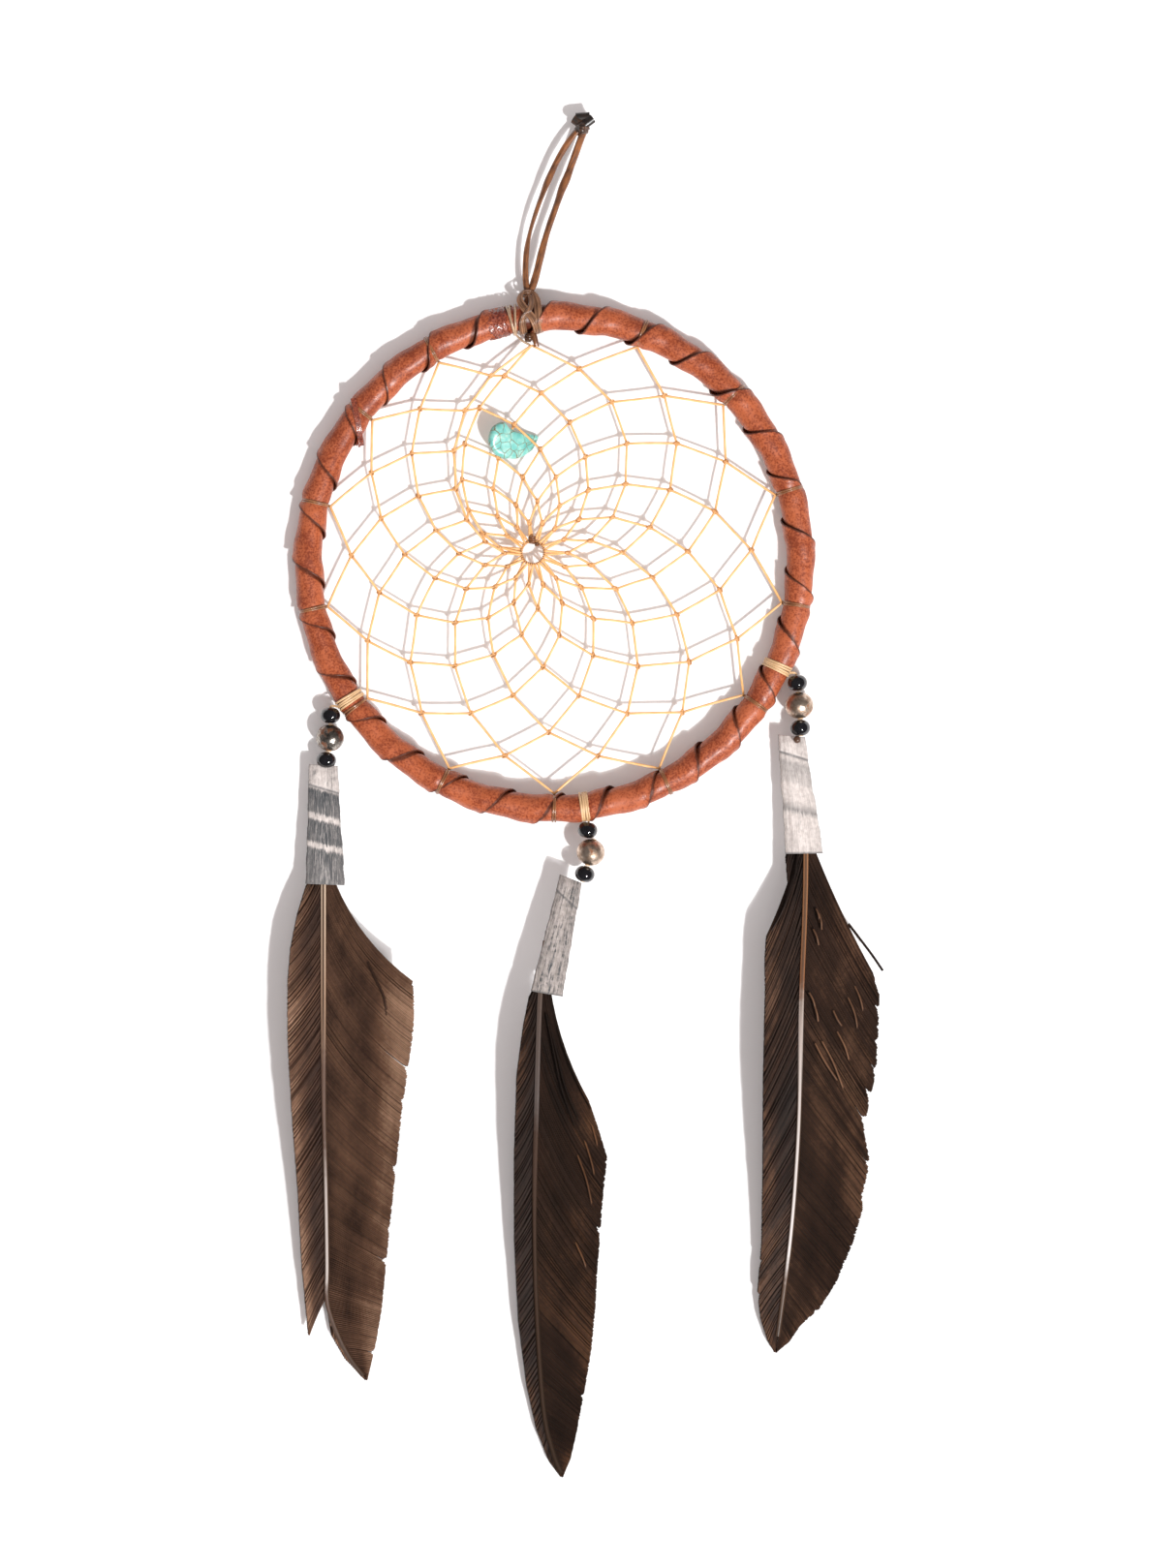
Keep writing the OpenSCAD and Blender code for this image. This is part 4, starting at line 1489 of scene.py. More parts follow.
@dataclass
class Pendant:
    """A tie, three beads, a folded hide sleeve and a feather. Sizes in millimetres."""

    side: Side
    hoop: Hoop
    tie_angle: float
    beads: tuple[tuple[float, float, float], ...]
    sleeve: tuple[Point, ...]
    metal: Finish
    metal_slot: str
    hide: Finish
    feather: FeatherShape
    fold_at: float = 0.2
    fold_slant: float = 0.06
    seed: int = 1
    tie_pitch: float = 0.46
    tie_radius: float = 2.86

    def name(self, part: str) -> str:
        """Name a piece of this pendant."""
        return f"{self.side.value.capitalize()}_{part}"

    def node(self, part: str) -> str:
        """Name a CAD node or body of this pendant."""
        return f"{self.side.value}_{part}"

    def make(self) -> None:
        """Make every piece of the pendant."""
        self.make_tie()
        self.make_beads()
        self.make_sleeve()
        self.make_shaft()
        self.make_vanes()
        for part in ("bead_cord", "lower_cord"):
            dress(self.node(part), TIE_SINEW)

    def make_tie(self) -> None:
        """Bind the flat gold strands round the hoop and lead them down through the upper bead."""
        hoop = self.hoop
        rng = np.random.default_rng(self.seed)
        turn = np.linspace(0, TURN, 41)
        step = math.degrees(self.tie_pitch / hoop.radius)
        strands = Strands(0.5, 0.2, 6)
        for k in range(4):
            lie = self.tie_angle + step * (k - 1.5) + rng.uniform(-0.12, 0.12) * np.cos(turn)
            points = hoop.around_tube(lie, turn, self.tie_radius + 0.03 * (k % 2))
            facing = points - hoop.at(lie, hoop.radius)
            strands.line(points, facing=unit(facing), knot=0.0)
        x, z, lean = self.beads[0]
        up, middle = leaning(lean), np.array([x, 0.0, z])
        edge = hoop.at(self.tie_angle, hoop.radius + 2.7)
        for k in (-1, 1):
            foot = middle - up * 1.6 + np.array([0.0, 0.22 * k, 0.0])
            head = middle + up * 1.7 + np.array([0.0, 0.25 * k, 0.0])
            line = smooth_line(np.vstack([foot, head, edge + [0.0, 1.1 * k, 0.0]]), 16)
            strands.line(line, girth=0.9, knot=0.1)
        tie = strands.make(self.name("tie"), TIE_SINEW)
        place(tie, "hoop", "gold_sinew", self.node("tie"))

    def turned(
        self, name: str, place_at: tuple[float, float, float], outline: list[Point], finish: Finish, wobble: float
    ) -> bpy.types.Object:
        """Turn a bead on its leaning axis.

        Args:
            name: the piece's name.
            place_at: x, z and lean of the bead.
            outline: its closed outline as (radius, height).
            finish: its finish.
            wobble: how far from round it is.

        Returns:
            The bead.
        """
        x, z, lean = place_at
        middle, up = np.array([x, 0.0, z]), leaning(lean)
        side = np.array([up[2], 0.0, -up[0]])
        back = np.array([0.0, 1.0, 0.0])
        columns = 48
        turn = np.linspace(0, TURN, columns, endpoint=False)
        phase = self.seed + len(name)
        rings = []
        for radius, height in [*outline, outline[0]]:
            r = radius * (1 + wobble * np.sin(2 * turn + phase) + wobble * 0.5 * np.sin(3 * turn + height + phase))
            h = height * (1 + wobble * 1.2 * np.cos(turn + phase))
            rings.append(middle + np.outer(r * np.cos(turn), side) + np.outer(r * np.sin(turn), back) + np.outer(h, up))
        bag = MeshBag()
        bag.put(np.concatenate(rings), grid_faces(len(rings), columns))
        bead = bag.make(name, finish)
        outward(bead)
        return bead

    def make_beads(self) -> None:
        """Turn the two glass beads and the metal one between them."""
        arc = np.linspace(-1.3, 1.3, 26)
        glass = [(0.38 + 1.63 * math.cos(a), 1.6 * math.sin(a)) for a in arc]
        glass += [(0.66, 1.4), (0.6, 1.0), (0.6, -1.0), (0.66, -1.4)]
        for part, spot in (("upper", self.beads[0]), ("lower", self.beads[2])):
            bead = self.turned(self.name(f"{part}_bead"), spot, glass, BLACK_GLASS, 0.012)
            place(bead, self.node(part), "black_glass", self.node(f"{part}_bead"))
        ball = [(2.82 * math.cos(a), 2.68 * math.sin(a)) for a in np.linspace(-1.27, 1.27, 30)]
        lip = [(0.74, 2.5), (0.64, 2.25), (0.62, 0.0), (0.64, -2.25), (0.74, -2.5)]
        bead = self.turned(self.name("metal_bead"), self.beads[1], [*ball, *lip], self.metal, 0.006)
        place(bead, self.node("metal"), self.metal_slot, self.node("metal_bead"))

    def make_sleeve(self) -> None:
        """Fold the hide sleeve: a flattened tube with ridges, a folded top and a hollow mouth."""
        rng = np.random.default_rng(40 + self.seed)
        top_left, top_right, low_right, low_left = (np.array(p) for p in self.sleeve)
        rows, columns = 120, 84
        turn = np.linspace(0, TURN, columns, endpoint=False)
        ridges = rng.normal(0, 1, columns)
        fine = rng.normal(0, 1, (rows, columns))
        for _ in range(10):
            fine = (fine + np.roll(fine, 1, 0) + np.roll(fine, -1, 0)) / 2.75
        edge_wave = np.convolve(rng.normal(0, 1, rows + 12), np.ones(13) / 13, "valid")
        squared = np.sign(np.cos(turn)) * np.abs(np.cos(turn)) ** 0.62
        dome = np.sign(np.sin(turn)) * np.abs(np.sin(turn)) ** 0.8
        rings, along, around, sideways, fold_shades = [], [], [], [], []
        for i in range(rows):
            t = i / (rows - 1)
            left = top_left + (low_left - top_left) * t
            right = top_right + (low_right - top_right) * t
            middle, half = (left + right) / 2, (right - left) / 2
            across = np.stack([half[0] * squared, half[1] * squared], axis=1)
            line = t - (self.fold_at + self.fold_slant * squared)
            flap = 1 / (1 + np.exp(line * 420))
            crease = np.exp(-((line * 75) ** 2))
            grow = 1 + 0.03 * flap + 0.08 * np.where(squared > 0, edge_wave[i], edge_wave[rows - 1 - i])
            rib = 0.045 * ridges + 0.03 * fine[i] + 0.05 * np.cos(9 * turn + 2.0)
            thick = (0.95 + 0.1 * math.sin(t * 3.1)) * dome - (0.17 * flap + rib - 0.16 * crease) * -np.sign(dome)
            closing = 1 - 0.45 * max(0.0, 1 - t * 16)
            xz = middle + across * grow[:, None]
            rings.append(np.stack([xz[:, 0], -thick * closing, xz[:, 1]], axis=1))
            along.append(np.full(columns, t))
            around.append(turn / TURN)
            sideways.append(squared)
            # the crease also says where painted shade darkens the colour
            fold_shades.append(crease)
        mouth = (low_left + low_right) / 2
        for depth, inset in ((0.0, 0.9), (-1.6, 0.86)):
            ring = rings[rows - 1].copy()
            centre = np.array([mouth[0], 0.0, mouth[1]])
            ring = centre + (ring - centre) * np.array([inset, 0.72, inset])
            ring[:, 2] -= depth
            rings.append(ring)
            along.append(np.full(columns, 0.99))
            around.append(turn / TURN)
            sideways.append(squared)
            # the inside of the mouth is all painted shade
            fold_shades.append(np.ones(columns))
        total = len(rings)
        bag = MeshBag()
        bag.put(
            np.concatenate(rings), grid_faces(total, columns), along=np.concatenate(along),
            around=np.concatenate(around), sideways=np.concatenate(sideways), fold=np.concatenate(fold_shades),
        )
        bag.faces += caps(total, columns)
        sleeve = bag.make(self.name("sleeve"), self.hide)
        outward(sleeve)
        place(sleeve, self.node("feather"), "painted_hide", self.node("sleeve"))

    def bend(self, z: np.ndarray) -> np.ndarray:
        """Give how far back the feather bows at a height, in millimetres."""
        mouth, tip = self.sleeve[2][1], self.feather.shaft[-1][1]
        share = np.clip((mouth - z) / (mouth - tip), 0, 1)
        return self.feather.curve * share**2 - 0.5 * np.sin(share * math.pi)

    def make_shaft(self) -> None:
        """Sweep the feather's shaft, which thins towards the tip."""
        count = 90
        line = smooth_line(self.feather.shaft, count)
        steps = np.concatenate([[0], np.cumsum(np.linalg.norm(np.diff(line, axis=0), axis=1))])
        share = steps / steps[-1]
        widths = np.interp(share, np.linspace(0, 1, len(self.feather.widths)), self.feather.widths)
        shaft = Strands(1.0, 0.85, 12)
        shaft.line(flat_to_space(line, self.bend(line[:, 1]) - 0.12 - 0.1 * widths), girth=widths, share=share)
        quill = shaft.make(self.name("quill"), self.feather.quill)
        place(quill, self.node("feather"), "quill", self.node("quill"))

    def make_vanes(self) -> None:
        """Set the barbs of every row, and the loose strands in front: pale specks, loose barbs, and on the middle
        feather dark strands of painted shade along a crease.
        """
        rng = np.random.default_rng(100 + self.seed)
        barbs = Strands(BARB_WIDTH, 0.11, 4)
        for row in self.feather.rows:
            self.set_row(barbs, row, rng)
        for route in self.feather.loose:
            line = smooth_line(route, 18)
            # longer strands are darkened; on the middle feather they are painted shade along a crease in the vane
            width, fleck = (1.0, 0.4) if len(route) == SHORT_ROUTE else (1.0 / BARB_WIDTH, -0.2)
            girth = np.linspace(1, 0.25, 18) * self.feather.loose_width * width
            depth = self.bend(line[:, 1]) - 0.75 - 0.5 * np.sin(np.linspace(0, math.pi, 18))
            barbs.line(flat_to_space(line, depth), girth=girth, reach=0.4, tint=0.9, fleck=fleck)
        vane = barbs.make(self.name("vane"), self.feather.vane)
        place(vane, self.node("feather"), "feather", self.node("vane"))

    def set_row(self, barbs: Strands, row: BarbRow, rng: np.random.Generator) -> None:
        """Set one row of barbs.

        Args:
            barbs: the strands to add them to.
            row: the row.
            rng: the generator for their small differences.
        """
        run = float(np.linalg.norm(np.diff(np.array(row.root), axis=0), axis=1).sum())
        count = int(run / row.pitch)
        roots, ends = smooth_line(row.root, count), self.straight_line(row.edge, count)
        share = np.linspace(0, 1, count)
        slide = np.zeros(count)
        cut = rng.uniform(-row.rough, row.rough, count)
        for nick in row.nicks:
            away = (share - nick.at) / nick.width
            cut = np.maximum(cut, 0.75 * nick.depth * np.exp(-(away**2) * 3) * rng.uniform(0.5, 1.0, count))
            slide += 0.25 * nick.open * np.sign(away) * np.exp(-np.abs(away) * 1.2)
        marks = np.arange(0, count + 14, 7)
        clump = np.interp(np.arange(count), marks, rng.uniform(-1, 1, len(marks)))
        t = np.linspace(0, 1, 11)
        for i in range(count):
            root, end = roots[i], ends[i] + (ends[min(i + 1, count - 1)] - ends[max(i - 1, 0)]) * slide[i]
            end = root + (end - root) * (1 - cut[i])
            arm = end - root
            size = float(np.linalg.norm(arm))
            if size < 0.3:
                continue
            normal = np.array([-arm[1], arm[0]]) / size
            bow = (row.bow[0] + (row.bow[1] - row.bow[0]) * share[i]) * size
            flat = root + np.outer(t, arm) + np.outer(4 * t * (1 - t) * bow, normal)
            lift = clump[i] * 0.16 * t - row.camber * (t**1.6) * min(1.0, size / 14)
            free = np.clip((self.sleeve[2][1] - flat[:, 1]) / 10, 0, 1)
            depth = self.bend(flat[:, 1]) + lift * free + 0.05 * rng.uniform(-1, 1)
            across = normal * (1 if normal[1] > 0 else -1)
            facing = (-FACING_LEAN * across[0], -1.0, -FACING_LEAN * across[1])
            girth = np.interp(t, [0, 0.06, 0.8, 1], [0.55, 1.0, 0.85, 0.3])
            barbs.line(
                flat_to_space(flat, depth), facing=facing, girth=girth, reach=t, fleck=0.0,
                tint=float(np.clip(0.5 + 0.35 * clump[i] + rng.normal(0, 0.16), 0, 1)),
            )

    @staticmethod
    def straight_line(points: Sequence[Point], count: int) -> np.ndarray:
        """Space points evenly along straight stretches, so that corners stay sharp."""
        given = np.array(points, float)
        steps = np.concatenate([[0], np.cumsum(np.linalg.norm(np.diff(given, axis=0), axis=1))])
        wanted = np.linspace(0, steps[-1], count)
        return np.stack([np.interp(wanted, steps, given[:, k]) for k in (0, 1)], axis=1)


def dress(node: str, finish: Finish) -> None:
    """Give a kept CAD node its finish.

    Args:
        node: the node's name.
        finish: the finish.
    """
    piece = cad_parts[node]
    for slot in piece.material_slots:
        slot.material = RACK.get(finish)
    if not piece.material_slots:
        piece.data.materials.append(RACK.get(finish))


# ---- the studio


@dataclass
class Studio:
    """The camera, the pale wall that the hoop hangs on, the floor and the lights. Lengths in metres."""

    centre: tuple[float, float] = (0.00155, -0.1306)
    view_height: float = 0.3144
    distance: float = 1.2
    sensor: float = 36.0
    half_width: float = 0.45
    floor_z: float = -0.42
    floor_front: float = -1.0
    wall_top: float = 0.16
    wall_gap: float = 0.0031
    hollow_depth: float = 0.0052
    hollow_z: float = -0.178
    hollow_height: float = 0.036
    key: tuple[float, float, float] = (0.48, -1.0, -0.67)
    key_width: float = 2.6
    key_power: float = 2.65
    soft_reach: float = 1.4
    soft_size: float = 0.24
    soft_power: float = 8.0

    def make(self) -> None:
        """Set up the studio."""
        self.make_camera()
        self.make_wall()
        self.make_floor()
        self.make_lights()
        bpy.context.scene.view_settings.view_transform = "Standard"

    def make_camera(self) -> None:
        """Place the camera straight in front of the hoop."""
        eye = bpy.data.cameras.new("Front_camera")
        eye.sensor_width = self.sensor
        eye.lens = self.sensor * self.distance / self.view_height
        eye.clip_start = 0.01
        camera = set_out("Front_camera", eye)
        camera.location = (self.centre[0], -self.distance, self.centre[1])
        camera.rotation_euler = (math.pi / 2, 0.0, 0.0)
        bpy.context.scene.camera = camera

    def make_wall(self) -> None:
        """Make the wall, a little hollow behind the feathers, and seen only from its front."""
        rows = np.linspace(self.floor_z, self.wall_top, 117)
        gap = self.wall_gap + self.hollow_depth * np.exp(-(((rows - self.hollow_z) / self.hollow_height) ** 2))
        points = [(x, float(y), float(z)) for z, y in zip(rows, gap) for x in (-self.half_width, self.half_width)]
        faces = [(2 * i, 2 * i + 1, 2 * i + 3, 2 * i + 2) for i in range(len(rows) - 1)]
        self.put_up("Pale_wall", points, faces, (0.93, 0.93, 0.93))

    def make_floor(self) -> None:
        """Make the floor in front of the wall, which lets the low light through."""
        half, front, back, low = self.half_width, self.floor_front, self.wall_gap, self.floor_z
        points = [(-half, front, low), (half, front, low), (half, back, low), (-half, back, low)]
        floor = self.put_up("Pale_floor", points, [(0, 1, 2, 3)], (0.85, 0.84, 0.83))
        floor.visible_glossy = False

    def put_up(
        self, name: str, points: list[tuple[float, ...]], faces: list[tuple[int, ...]], colour: Colour
    ) -> bpy.types.Object:
        """Put up a matt board that throws no shadow and isn't part of the dream catcher.

        Args:
            name: its name.
            points: its points, in metres.
            faces: its faces.
            colour: its colour.

        Returns:
            The board.
        """
        mesh = bpy.data.meshes.new(name)
        mesh.from_pydata(points, [], faces)
        mesh.shade_smooth()
        mesh.materials.append(self.board(name.lower(), colour))
        board = set_out(name, mesh)
        board.visible_shadow = False
        return board

    @staticmethod
    def board(name: str, colour: Colour) -> bpy.types.Material:
        """Make a matt pale board, clear from behind.

        Args:
            name: the material's name.
            colour: its colour.

        Returns:
            The material.
        """
        stuff = bpy.data.materials.new(name)
        stuff.use_nodes = True
        bench = Bench(stuff.node_tree)
        shader = stuff.node_tree.nodes["Principled BSDF"]
        paper = bench.noise(bench.here(), 60.0, 4.0)
        tint = bench.blend(paper, tuple(v * 0.985 for v in colour), colour)
        bench.put(tint, shader, "Base Color")
        shader.inputs["Roughness"].default_value = 0.95
        shader.inputs["Specular IOR Level"].default_value = 0.1
        clear = bench.add("ShaderNodeBsdfTransparent")
        mix = stuff.node_tree.nodes.new("ShaderNodeMixShader")
        bench.put(bench.add("ShaderNodeNewGeometry", out="Backfacing"), mix, 0)
        bench.put(Wire(bench.tree, shader.outputs[0]), mix, 1)
        bench.put(clear, mix, 2)
        bench.put(Wire(bench.tree, mix.outputs[0]), stuff.node_tree.nodes["Material Output"], 0)
        return stuff

    def make_lights(self) -> None:
        """Light the scene: a bright even surround, one small key lamp and a soft one beside it."""
        world = bpy.data.worlds.new("Studio_surround")
        world.use_nodes = True
        bench = Bench(world.node_tree)
        ground = world.node_tree.nodes["Background"]
        ground.inputs[0].default_value = (1.0, 0.925, 0.92, 1.0)
        ray = world.node_tree.nodes.new("ShaderNodeLightPath")
        seen = Wire(world.node_tree, ray.outputs["Is Camera Ray"])
        glossy = Wire(world.node_tree, ray.outputs["Is Glossy Ray"])
        bench.put(seen * 0.5 + 0.66 - glossy * 0.5, ground, 1)
        bpy.context.scene.world = world
        way = np.array(self.key) / np.linalg.norm(self.key)
        aim = np.array([self.centre[0], 0.0, self.centre[1]])
        sun = bpy.data.lights.new("Key_lamp", "SUN")
        sun.angle = math.radians(self.key_width)
        sun.energy = self.key_power
        self.point(set_out("Key_lamp", sun), -way)
        bulb = bpy.data.lights.new("Soft_lamp", "AREA")
        bulb.shape = "DISK"
        bulb.size = self.soft_size
        bulb.energy = self.soft_power
        lamp = set_out("Soft_lamp", bulb)
        at = aim + (way + np.array([0.05, 0.0, 0.05])) * self.soft_reach
        lamp.location = tuple(at)
        self.point(lamp, aim - at)

    @staticmethod
    def point(lamp: bpy.types.Object, way: np.ndarray) -> None:
        """Turn a lamp so that it shines along a direction."""
        lamp.rotation_euler = Vector(way.tolist()).to_track_quat("-Z", "Y").to_euler()


# ---- the feathers' shapes


def left_feather() -> FeatherShape:
    """Describe the left feather: mid brown, with a long right vane and a split tip."""
    shaft = (
        (-51.5, -140), (-51.5, -156), (-51.5, -180), (-51.4, -196), (-51, -212), (-50.8, -227), (-50.9, -233.4),
        (-50.2, -237), (-48.3, -242), (-46, -246.3), (-43.6, -249.4),
    )
    right_root = (
        (-51.4, -144), (-51.4, -160), (-51.4, -180), (-51.3, -196), (-50.9, -212), (-50.7, -227), (-50.1, -237),
        (-48, -242.5), (-45.6, -247), (-43.2, -250),
    )
    right_edge = (
        (-33.6, -170.3), (-33.3, -174), (-33.4, -180), (-35.7, -196), (-37.4, -212), (-38.9, -227), (-39.8, -236),
        (-41, -243), (-42.7, -250.2),
    )
    left_root = (
        (-51.6, -141), (-51.6, -156), (-51.6, -180), (-51.5, -196), (-51.1, -212), (-50.9, -225), (-51, -233.2),
    )
    left_edge = (
        (-55.0, -151.5), (-56.7, -157), (-58.1, -164), (-58.6, -171), (-58.6, -182), (-57.8, -196), (-56.6, -212),
        (-55.8, -227), (-54.5, -241.2),
    )
    strip_root = ((-50.7, -234.5), (-49.5, -239.4), (-47.2, -244.2), (-44.5, -248.4))
    strip_edge = ((-50.6, -236.5), (-49.8, -241.4), (-47, -246.2), (-43.1, -250.2))
    nicks = (Nick(0.22, 0.07, 0.012, 0.8), Nick(0.30, 0.05, 0.01, 0.5), Nick(0.47, 0.06, 0.015, 0.6),
             Nick(0.62, 0.05, 0.012, 0.5), Nick(0.7, 0.1, 0.012, 0.9), Nick(0.93, 0.12, 0.01, 0.8))
    return FeatherShape(
        shaft=shaft, widths=(1.9, 1.8, 1.5, 1.2, 0.9, 0.68, 0.52, 0.3, 0.12),
        rows=(
            BarbRow(left_root, left_edge, 0.42, (0.05, -0.02), 1.3, 0.008),
            BarbRow(right_root, right_edge, 0.45, (-0.09, 0.03), 1.4, 0.012, nicks),
            BarbRow(strip_root, strip_edge, 0.45, (0.0, 0.0), 0.1, 0.02),
        ),
        loose=(((-42.6, -166.2), (-41.2, -169.3), (-39.3, -173.4), (-38.6, -178)),),
        vane=Vane("left_feather", roughness=0.5, deep=(0.028, 0.013, 0.008), middle=(0.105, 0.052, 0.03),
                  pale=(0.4, 0.235, 0.15), edge_share=0.42, cloud_share=0.4, offset=-0.26, specular=0.15),
        quill=Quill("left_quill", roughness=0.35, grooved=0.95, stops=(
            (0.0, (0.8, 0.64, 0.48)), (0.3, (0.45, 0.29, 0.19)), (0.42, (0.12, 0.07, 0.05)),
            (0.56, (0.1, 0.06, 0.045)), (0.66, (0.38, 0.33, 0.3)), (0.8, (0.42, 0.37, 0.34)),
            (0.84, (0.1, 0.06, 0.045)), (1.0, (0.05, 0.03, 0.02)))),
    )


def middle_feather() -> FeatherShape:
    """Describe the middle feather: dark and narrow, with a bulge on its right."""
    shaft = (
        (-7.0, -162), (-8.1, -173.5), (-8.8, -195.8), (-9.2, -215.5), (-8.8, -235.2), (-7.4, -256), (-5.4, -265),
        (-3.8, -269),
    )
    right_root = (
        (-6.8, -160), (-7.8, -172), (-8.7, -192), (-9.1, -208), (-9, -222), (-8.5, -238), (-7.4, -254), (-5.6, -264.5),
        (-3.8, -269.4),
    )
    right_edge = (
        (1.7, -194.6), (3.4, -199.5), (5.3, -205.6), (4.4, -214.2), (3.8, -222.7), (3.3, -228.6), (3, -235.2),
        (2.1, -245), (0.7, -252.9), (-0.6, -260.1), (-1.9, -266), (-3.5, -269.8),
    )
    left_root = (
        (-7.4, -163), (-8.2, -172), (-8.9, -192), (-9.3, -210), (-9, -228), (-8.3, -244), (-6.8, -258), (-4.2, -268),
    )
    left_edge = (
        (-10.2, -173.5), (-11.4, -179.4), (-12.7, -189.2), (-13.2, -205), (-13.2, -222), (-12.4, -238.5),
        (-10.7, -251.6), (-8.8, -260.1), (-6.2, -266.7), (-3.9, -269.7),
    )
    nicks = (Nick(0.02, 0.03, 0.01, 0.6), Nick(0.345, 0.1, 0.012, 1.2), Nick(0.78, 0.08, 0.008, 0.7))
    return FeatherShape(
        shaft=shaft, widths=(1.5, 1.3, 1.1, 0.75, 0.5, 0.38, 0.28, 0.12),
        rows=(
            BarbRow(left_root, left_edge, 0.42, (0.06, -0.02), 0.9, 0.008),
            BarbRow(right_root, right_edge, 0.45, (-0.07, 0.02), 1.2, 0.014, nicks),
        ),
        loose=(
            ((-1.0, -222.5), (0.6, -226.0), (1.2, -228.0)), ((1.9, -197.6), (3.0, -201.5), (4.0, -205.6)),
            ((0.6, -201.4), (2.2, -206.4), (3.3, -211.8)), ((-0.6, -205.0), (1.2, -210.0), (2.6, -216.6)),
            # these two long dark strands are painted shade along a crease running down from the sleeve's mouth
            ((-6.8, -176.8), (-5.3, -184.2), (-3.7, -191.6), (-1.1, -199.0)),
            ((-6.4, -177.4), (-4.7, -184.6), (-2.9, -191.6), (-0.2, -198.2)),
        ),
        vane=Vane("middle_feather", roughness=0.42, deep=(0.009, 0.005, 0.0035), middle=(0.026, 0.0125, 0.0075),
                  pale=(0.15, 0.068, 0.032), edge_share=0.16, cloud_share=0.38, specular=0.15),
        quill=Quill("middle_quill", roughness=0.6, specular=0.08, grooved=0.4, groove=(0.026, 0.015, 0.009), stops=(
            (0.0, (0.1, 0.065, 0.048)), (0.3, (0.115, 0.095, 0.088)), (0.36, (0.06, 0.036, 0.026)),
            (0.6, (0.042, 0.024, 0.016)), (1.0, (0.028, 0.016, 0.01)))),
        loose_width=0.25,
    )


def right_feather() -> FeatherShape:
    """Describe the right feather: dark brown and broad, torn along its right edge."""
    shaft = (
        (45.2, -134), (45.2, -145.7), (45.0, -156), (44.3, -174.4), (43.9, -195.8), (43.2, -209.2), (42.2, -221.3),
        (40.9, -232), (39.6, -241.5),
    )
    right_root = (
        (45.0, -139), (44.9, -150), (44.3, -168), (43.9, -186), (43.5, -200), (42.7, -213), (41.6, -226), (40.5, -236),
        (39.4, -243.8),
    )
    right_edge = (
        (58.6, -168.9), (59.8, -173), (59.6, -180), (59.2, -188.5), (57.9, -193.8), (56.7, -200.5), (58.0, -206.5),
        (56.4, -213.4), (56.5, -216), (54.6, -222.6), (51.3, -230.6), (47.9, -236), (44.2, -239.3), (41.9, -242.7),
        (39.3, -244.8),
    )
    left_root = (
        (44.9, -139), (44.7, -150), (44.2, -168), (43.8, -186), (43.3, -202), (42.2, -218), (41, -230), (39.7, -240),
    )
    left_edge = (
        (37.3, -161.5), (37, -166), (37.1, -172), (36.7, -189.2), (36.6, -209.2), (36.4, -222.6), (35.6, -232.6),
        (36.2, -238), (37.6, -242.3), (39, -244.7),
    )
    sliver_root = ((43.8, -137.5), (43.6, -142), (43.3, -146))
    sliver_edge = ((41.3, -145.5), (41.6, -149.5), (41.9, -152.6))
    nicks = (Nick(0.03, 0.06, 0.02, 1.0), Nick(0.09, 0.07, 0.012, 0.9), Nick(0.17, 0.07, 0.01, 1.1),
             Nick(0.24, 0.09, 0.012, 1.0), Nick(0.30, 0.1, 0.012, 1.2), Nick(0.365, 0.14, 0.014, 1.6),
             Nick(0.47, 0.08, 0.012, 1.2), Nick(0.86, 0.08, 0.006, 0.6))
    left_nicks = (Nick(0.78, 0.08, 0.012, 0.7), Nick(0.86, 0.1, 0.012, 0.7))
    return FeatherShape(
        shaft=shaft, widths=(1.7, 1.6, 1.35, 1.0, 0.75, 0.65, 0.52, 0.34, 0.1),
        rows=(
            BarbRow(sliver_root, sliver_edge, 0.5, (-0.03, -0.03), 0.8, 0.02),
            BarbRow(left_root, left_edge, 0.42, (0.03, -0.02), 1.0, 0.008, left_nicks),
            BarbRow(right_root, right_edge, 0.45, (-0.02, 0.02), 1.5, 0.02, nicks),
        ),
        loose=(
            ((53.7, -158.6), (56.0, -161.6), (58.4, -164.8), (60.6, -168.0)),
            ((43.6, -145), (42.6, -150.5), (40.3, -156.4), (37.5, -161.3)),
            ((47.2, -155.6), (47.7, -156.9), (47.9, -158.4)), ((47.8, -156.6), (48.2, -158.2), (48.3, -159.8)),
            ((46.6, -159.7), (47.3, -161.2), (47.7, -162.9)), ((45.8, -172.4), (46.6, -174), (47.1, -175.8)),
            ((46.7, -174.6), (47.3, -176.4), (47.6, -178.2)), ((50.6, -176), (51.4, -177.7), (52.3, -179.1)),
            ((47.0, -182.6), (48.9, -186.2), (51.4, -190.0)), ((48.4, -182.2), (50.6, -186.4), (52.6, -191.6)),
            ((51.4, -180.2), (53.0, -183.4), (54.1, -187.2)), ((54.8, -170.8), (56.0, -173.6), (56.8, -177.0)),
            ((53.6, -173.4), (54.9, -176.6), (55.6, -180.4)),
        ),
        vane=Vane("right_feather", roughness=0.45, deep=(0.01, 0.0055, 0.004), middle=(0.034, 0.0165, 0.01),
                  pale=(0.2, 0.1, 0.055), edge_share=0.18, cloud_share=0.4, specular=0.15),
        quill=Quill("right_quill", roughness=0.3, grooved=0.85, stops=(
            (0.0, (0.36, 0.17, 0.075)), (0.34, (0.24, 0.1, 0.045)), (0.38, (0.4, 0.33, 0.29)), (0.6, (0.5, 0.45, 0.42)),
            (0.84, (0.6, 0.56, 0.54)), (0.9, (0.12, 0.08, 0.06)), (1.0, (0.05, 0.03, 0.02)))),
        loose_width=0.32,
    )


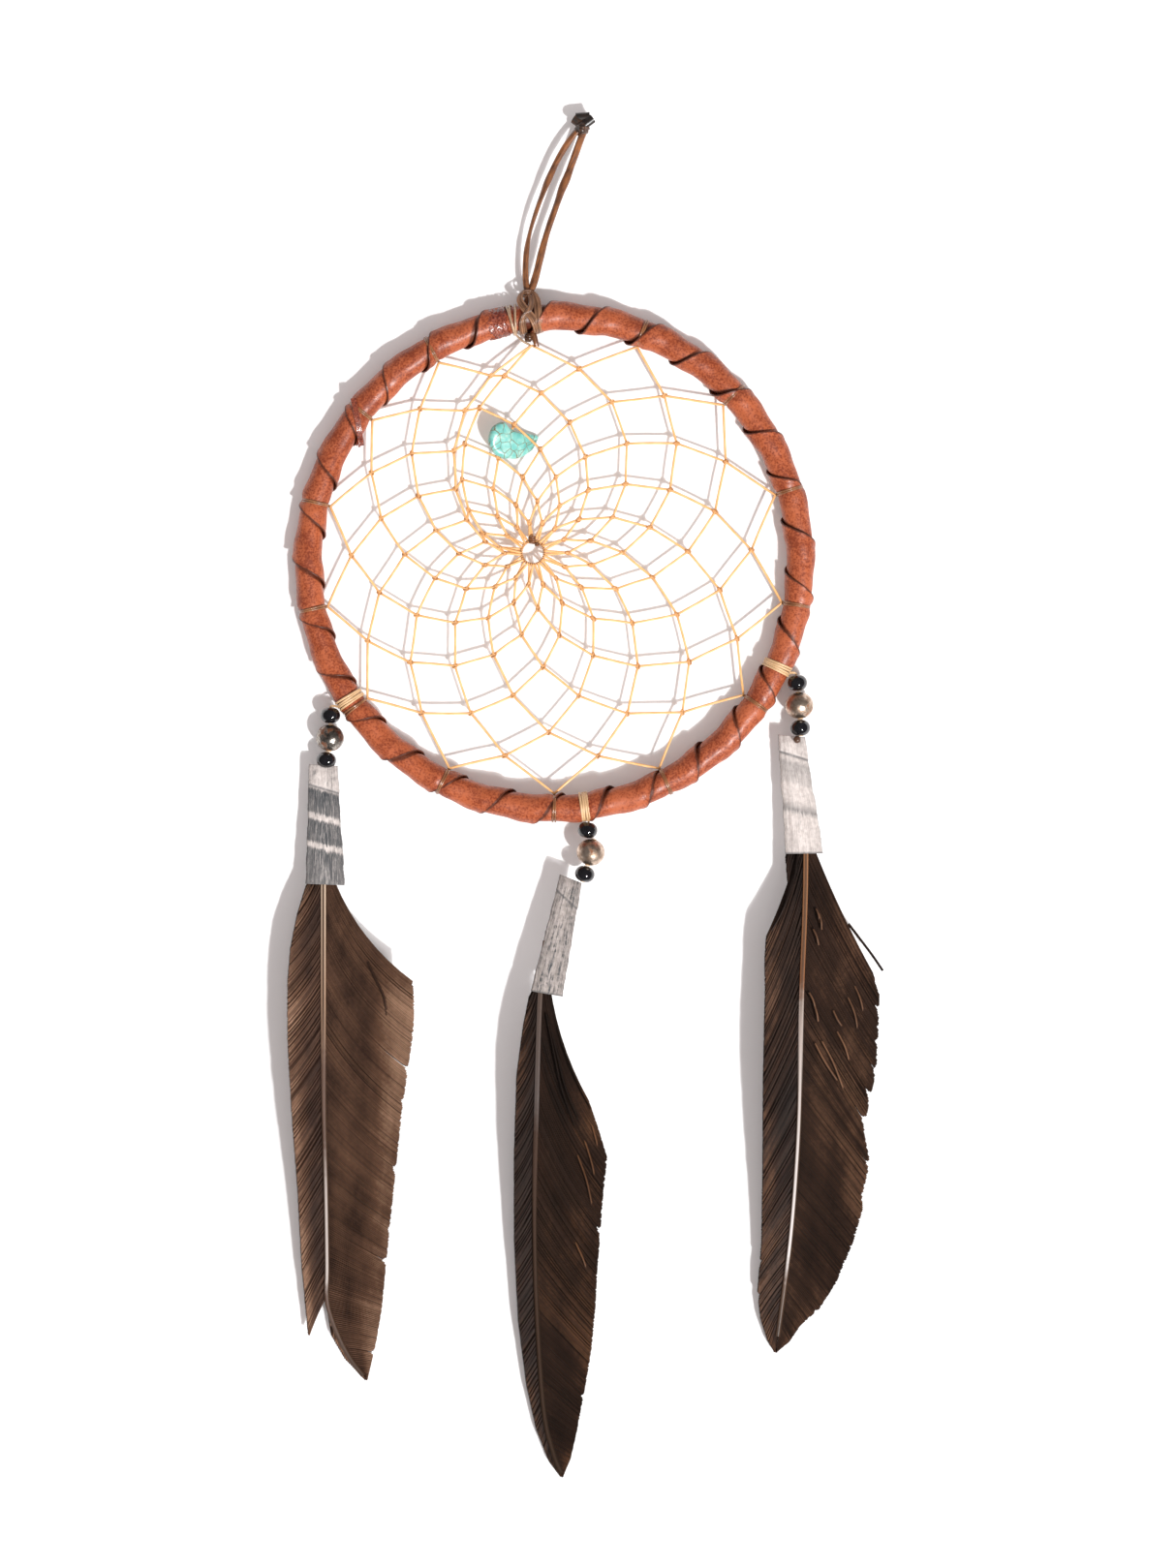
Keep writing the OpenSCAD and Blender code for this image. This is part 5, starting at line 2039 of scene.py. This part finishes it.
def pendants(hoop: Hoop) -> list[Pendant]:
    """Describe the three pendants.

    Args:
        hoop: the hoop that they hang from.

    Returns:
        The pendants, left to right.
    """
    smoked = ((0.0, 0.15), (0.205, 0.12), (0.225, 1.0), (0.415, 0.9), (0.43, 0.05), (0.465, 0.05), (0.48, 0.95),
              (0.655, 0.95), (0.67, 0.06), (0.7, 0.06), (0.72, 0.95), (1.0, 0.85))
    brushed = ((0.0, 0.05), (0.2, 0.12), (0.24, 0.5), (0.4, 0.3), (0.43, 0.03), (0.56, 0.1), (0.64, 0.7), (0.68, 0.04),
               (1.0, 0.18))
    worn = ((0.0, 0.2), (0.3, 0.14), (0.6, 0.24), (0.8, 0.12), (1.0, 0.1))
    return [
        Pendant(
            Side.LEFT, hoop, 236.2, ((-50.1, -116.85, 1), (-50.2, -121.35, 5), (-50.9, -125.8, 5)),
            ((-54.3, -126.6), (-48.7, -127), (-47.2, -150.9), (-55.1, -150.6)), GUNMETAL, "dark_metal",
            PaintedHide("smoked_hide", roughness=0.6, bands=smoked, slant=-0.03, streaks=1.05), left_feather(),
            0.2, 0.03, 1,
        ),
        Pendant(
            Side.MIDDLE, hoop, 172.9, ((1.45, -139.85, 8), (2.1, -144.3, 14), (0.9, -148.65, 15)),
            ((-4, -148.75), (0.3, -150.45), (-3.6, -173.2), (-10, -172.1)), BRONZE, "bronze",
            PaintedHide("worn_hide", roughness=0.6, bands=worn, slant=0.0, streaks=1.35, ground=(0.34, 0.3, 0.27),
                        chalk=(0.55, 0.48, 0.45)),
            middle_feather(), 0.18, 0.05, 2,
        ),
        Pendant(
            Side.RIGHT, hoop, 115.1, ((43.5, -110.35, -6), (43.9, -114.85, -5), (44.1, -119.35, -3)),
            ((39.7, -120.7), (45, -121.2), (48.7, -144.5), (41.1, -144.6)), BRONZE, "bronze",
            PaintedHide("brushed_hide", roughness=0.6, bands=brushed, slant=-0.03, streaks=0.7), right_feather(),
            0.17, 0.03, 3,
        ),
    ]


def main() -> None:
    """Build the studio, the cords and every other piece in order."""
    logging.basicConfig(level=logging.INFO, format="%(name)s %(message)s")
    Studio().make()
    hoop = Hoop()
    HangingLoop(hoop).make()
    hanging = pendants(hoop)
    hoop.make_wrap([*hoop.hitches, *(p.tie_angle for p in hanging)])
    hoop.make_end()
    hoop.make_tail()
    hoop.make_bands((-9.1, -9.7, -10.3))
    dress("ring_core", WIRE_STEEL)
    web = Web(hoop)
    web.make()
    StoneChip(web).make()
    for pendant in hanging:
        pendant.make()
    dress("right_knot", BURNT_KNOT)


if __name__ == "__main__":
    main()
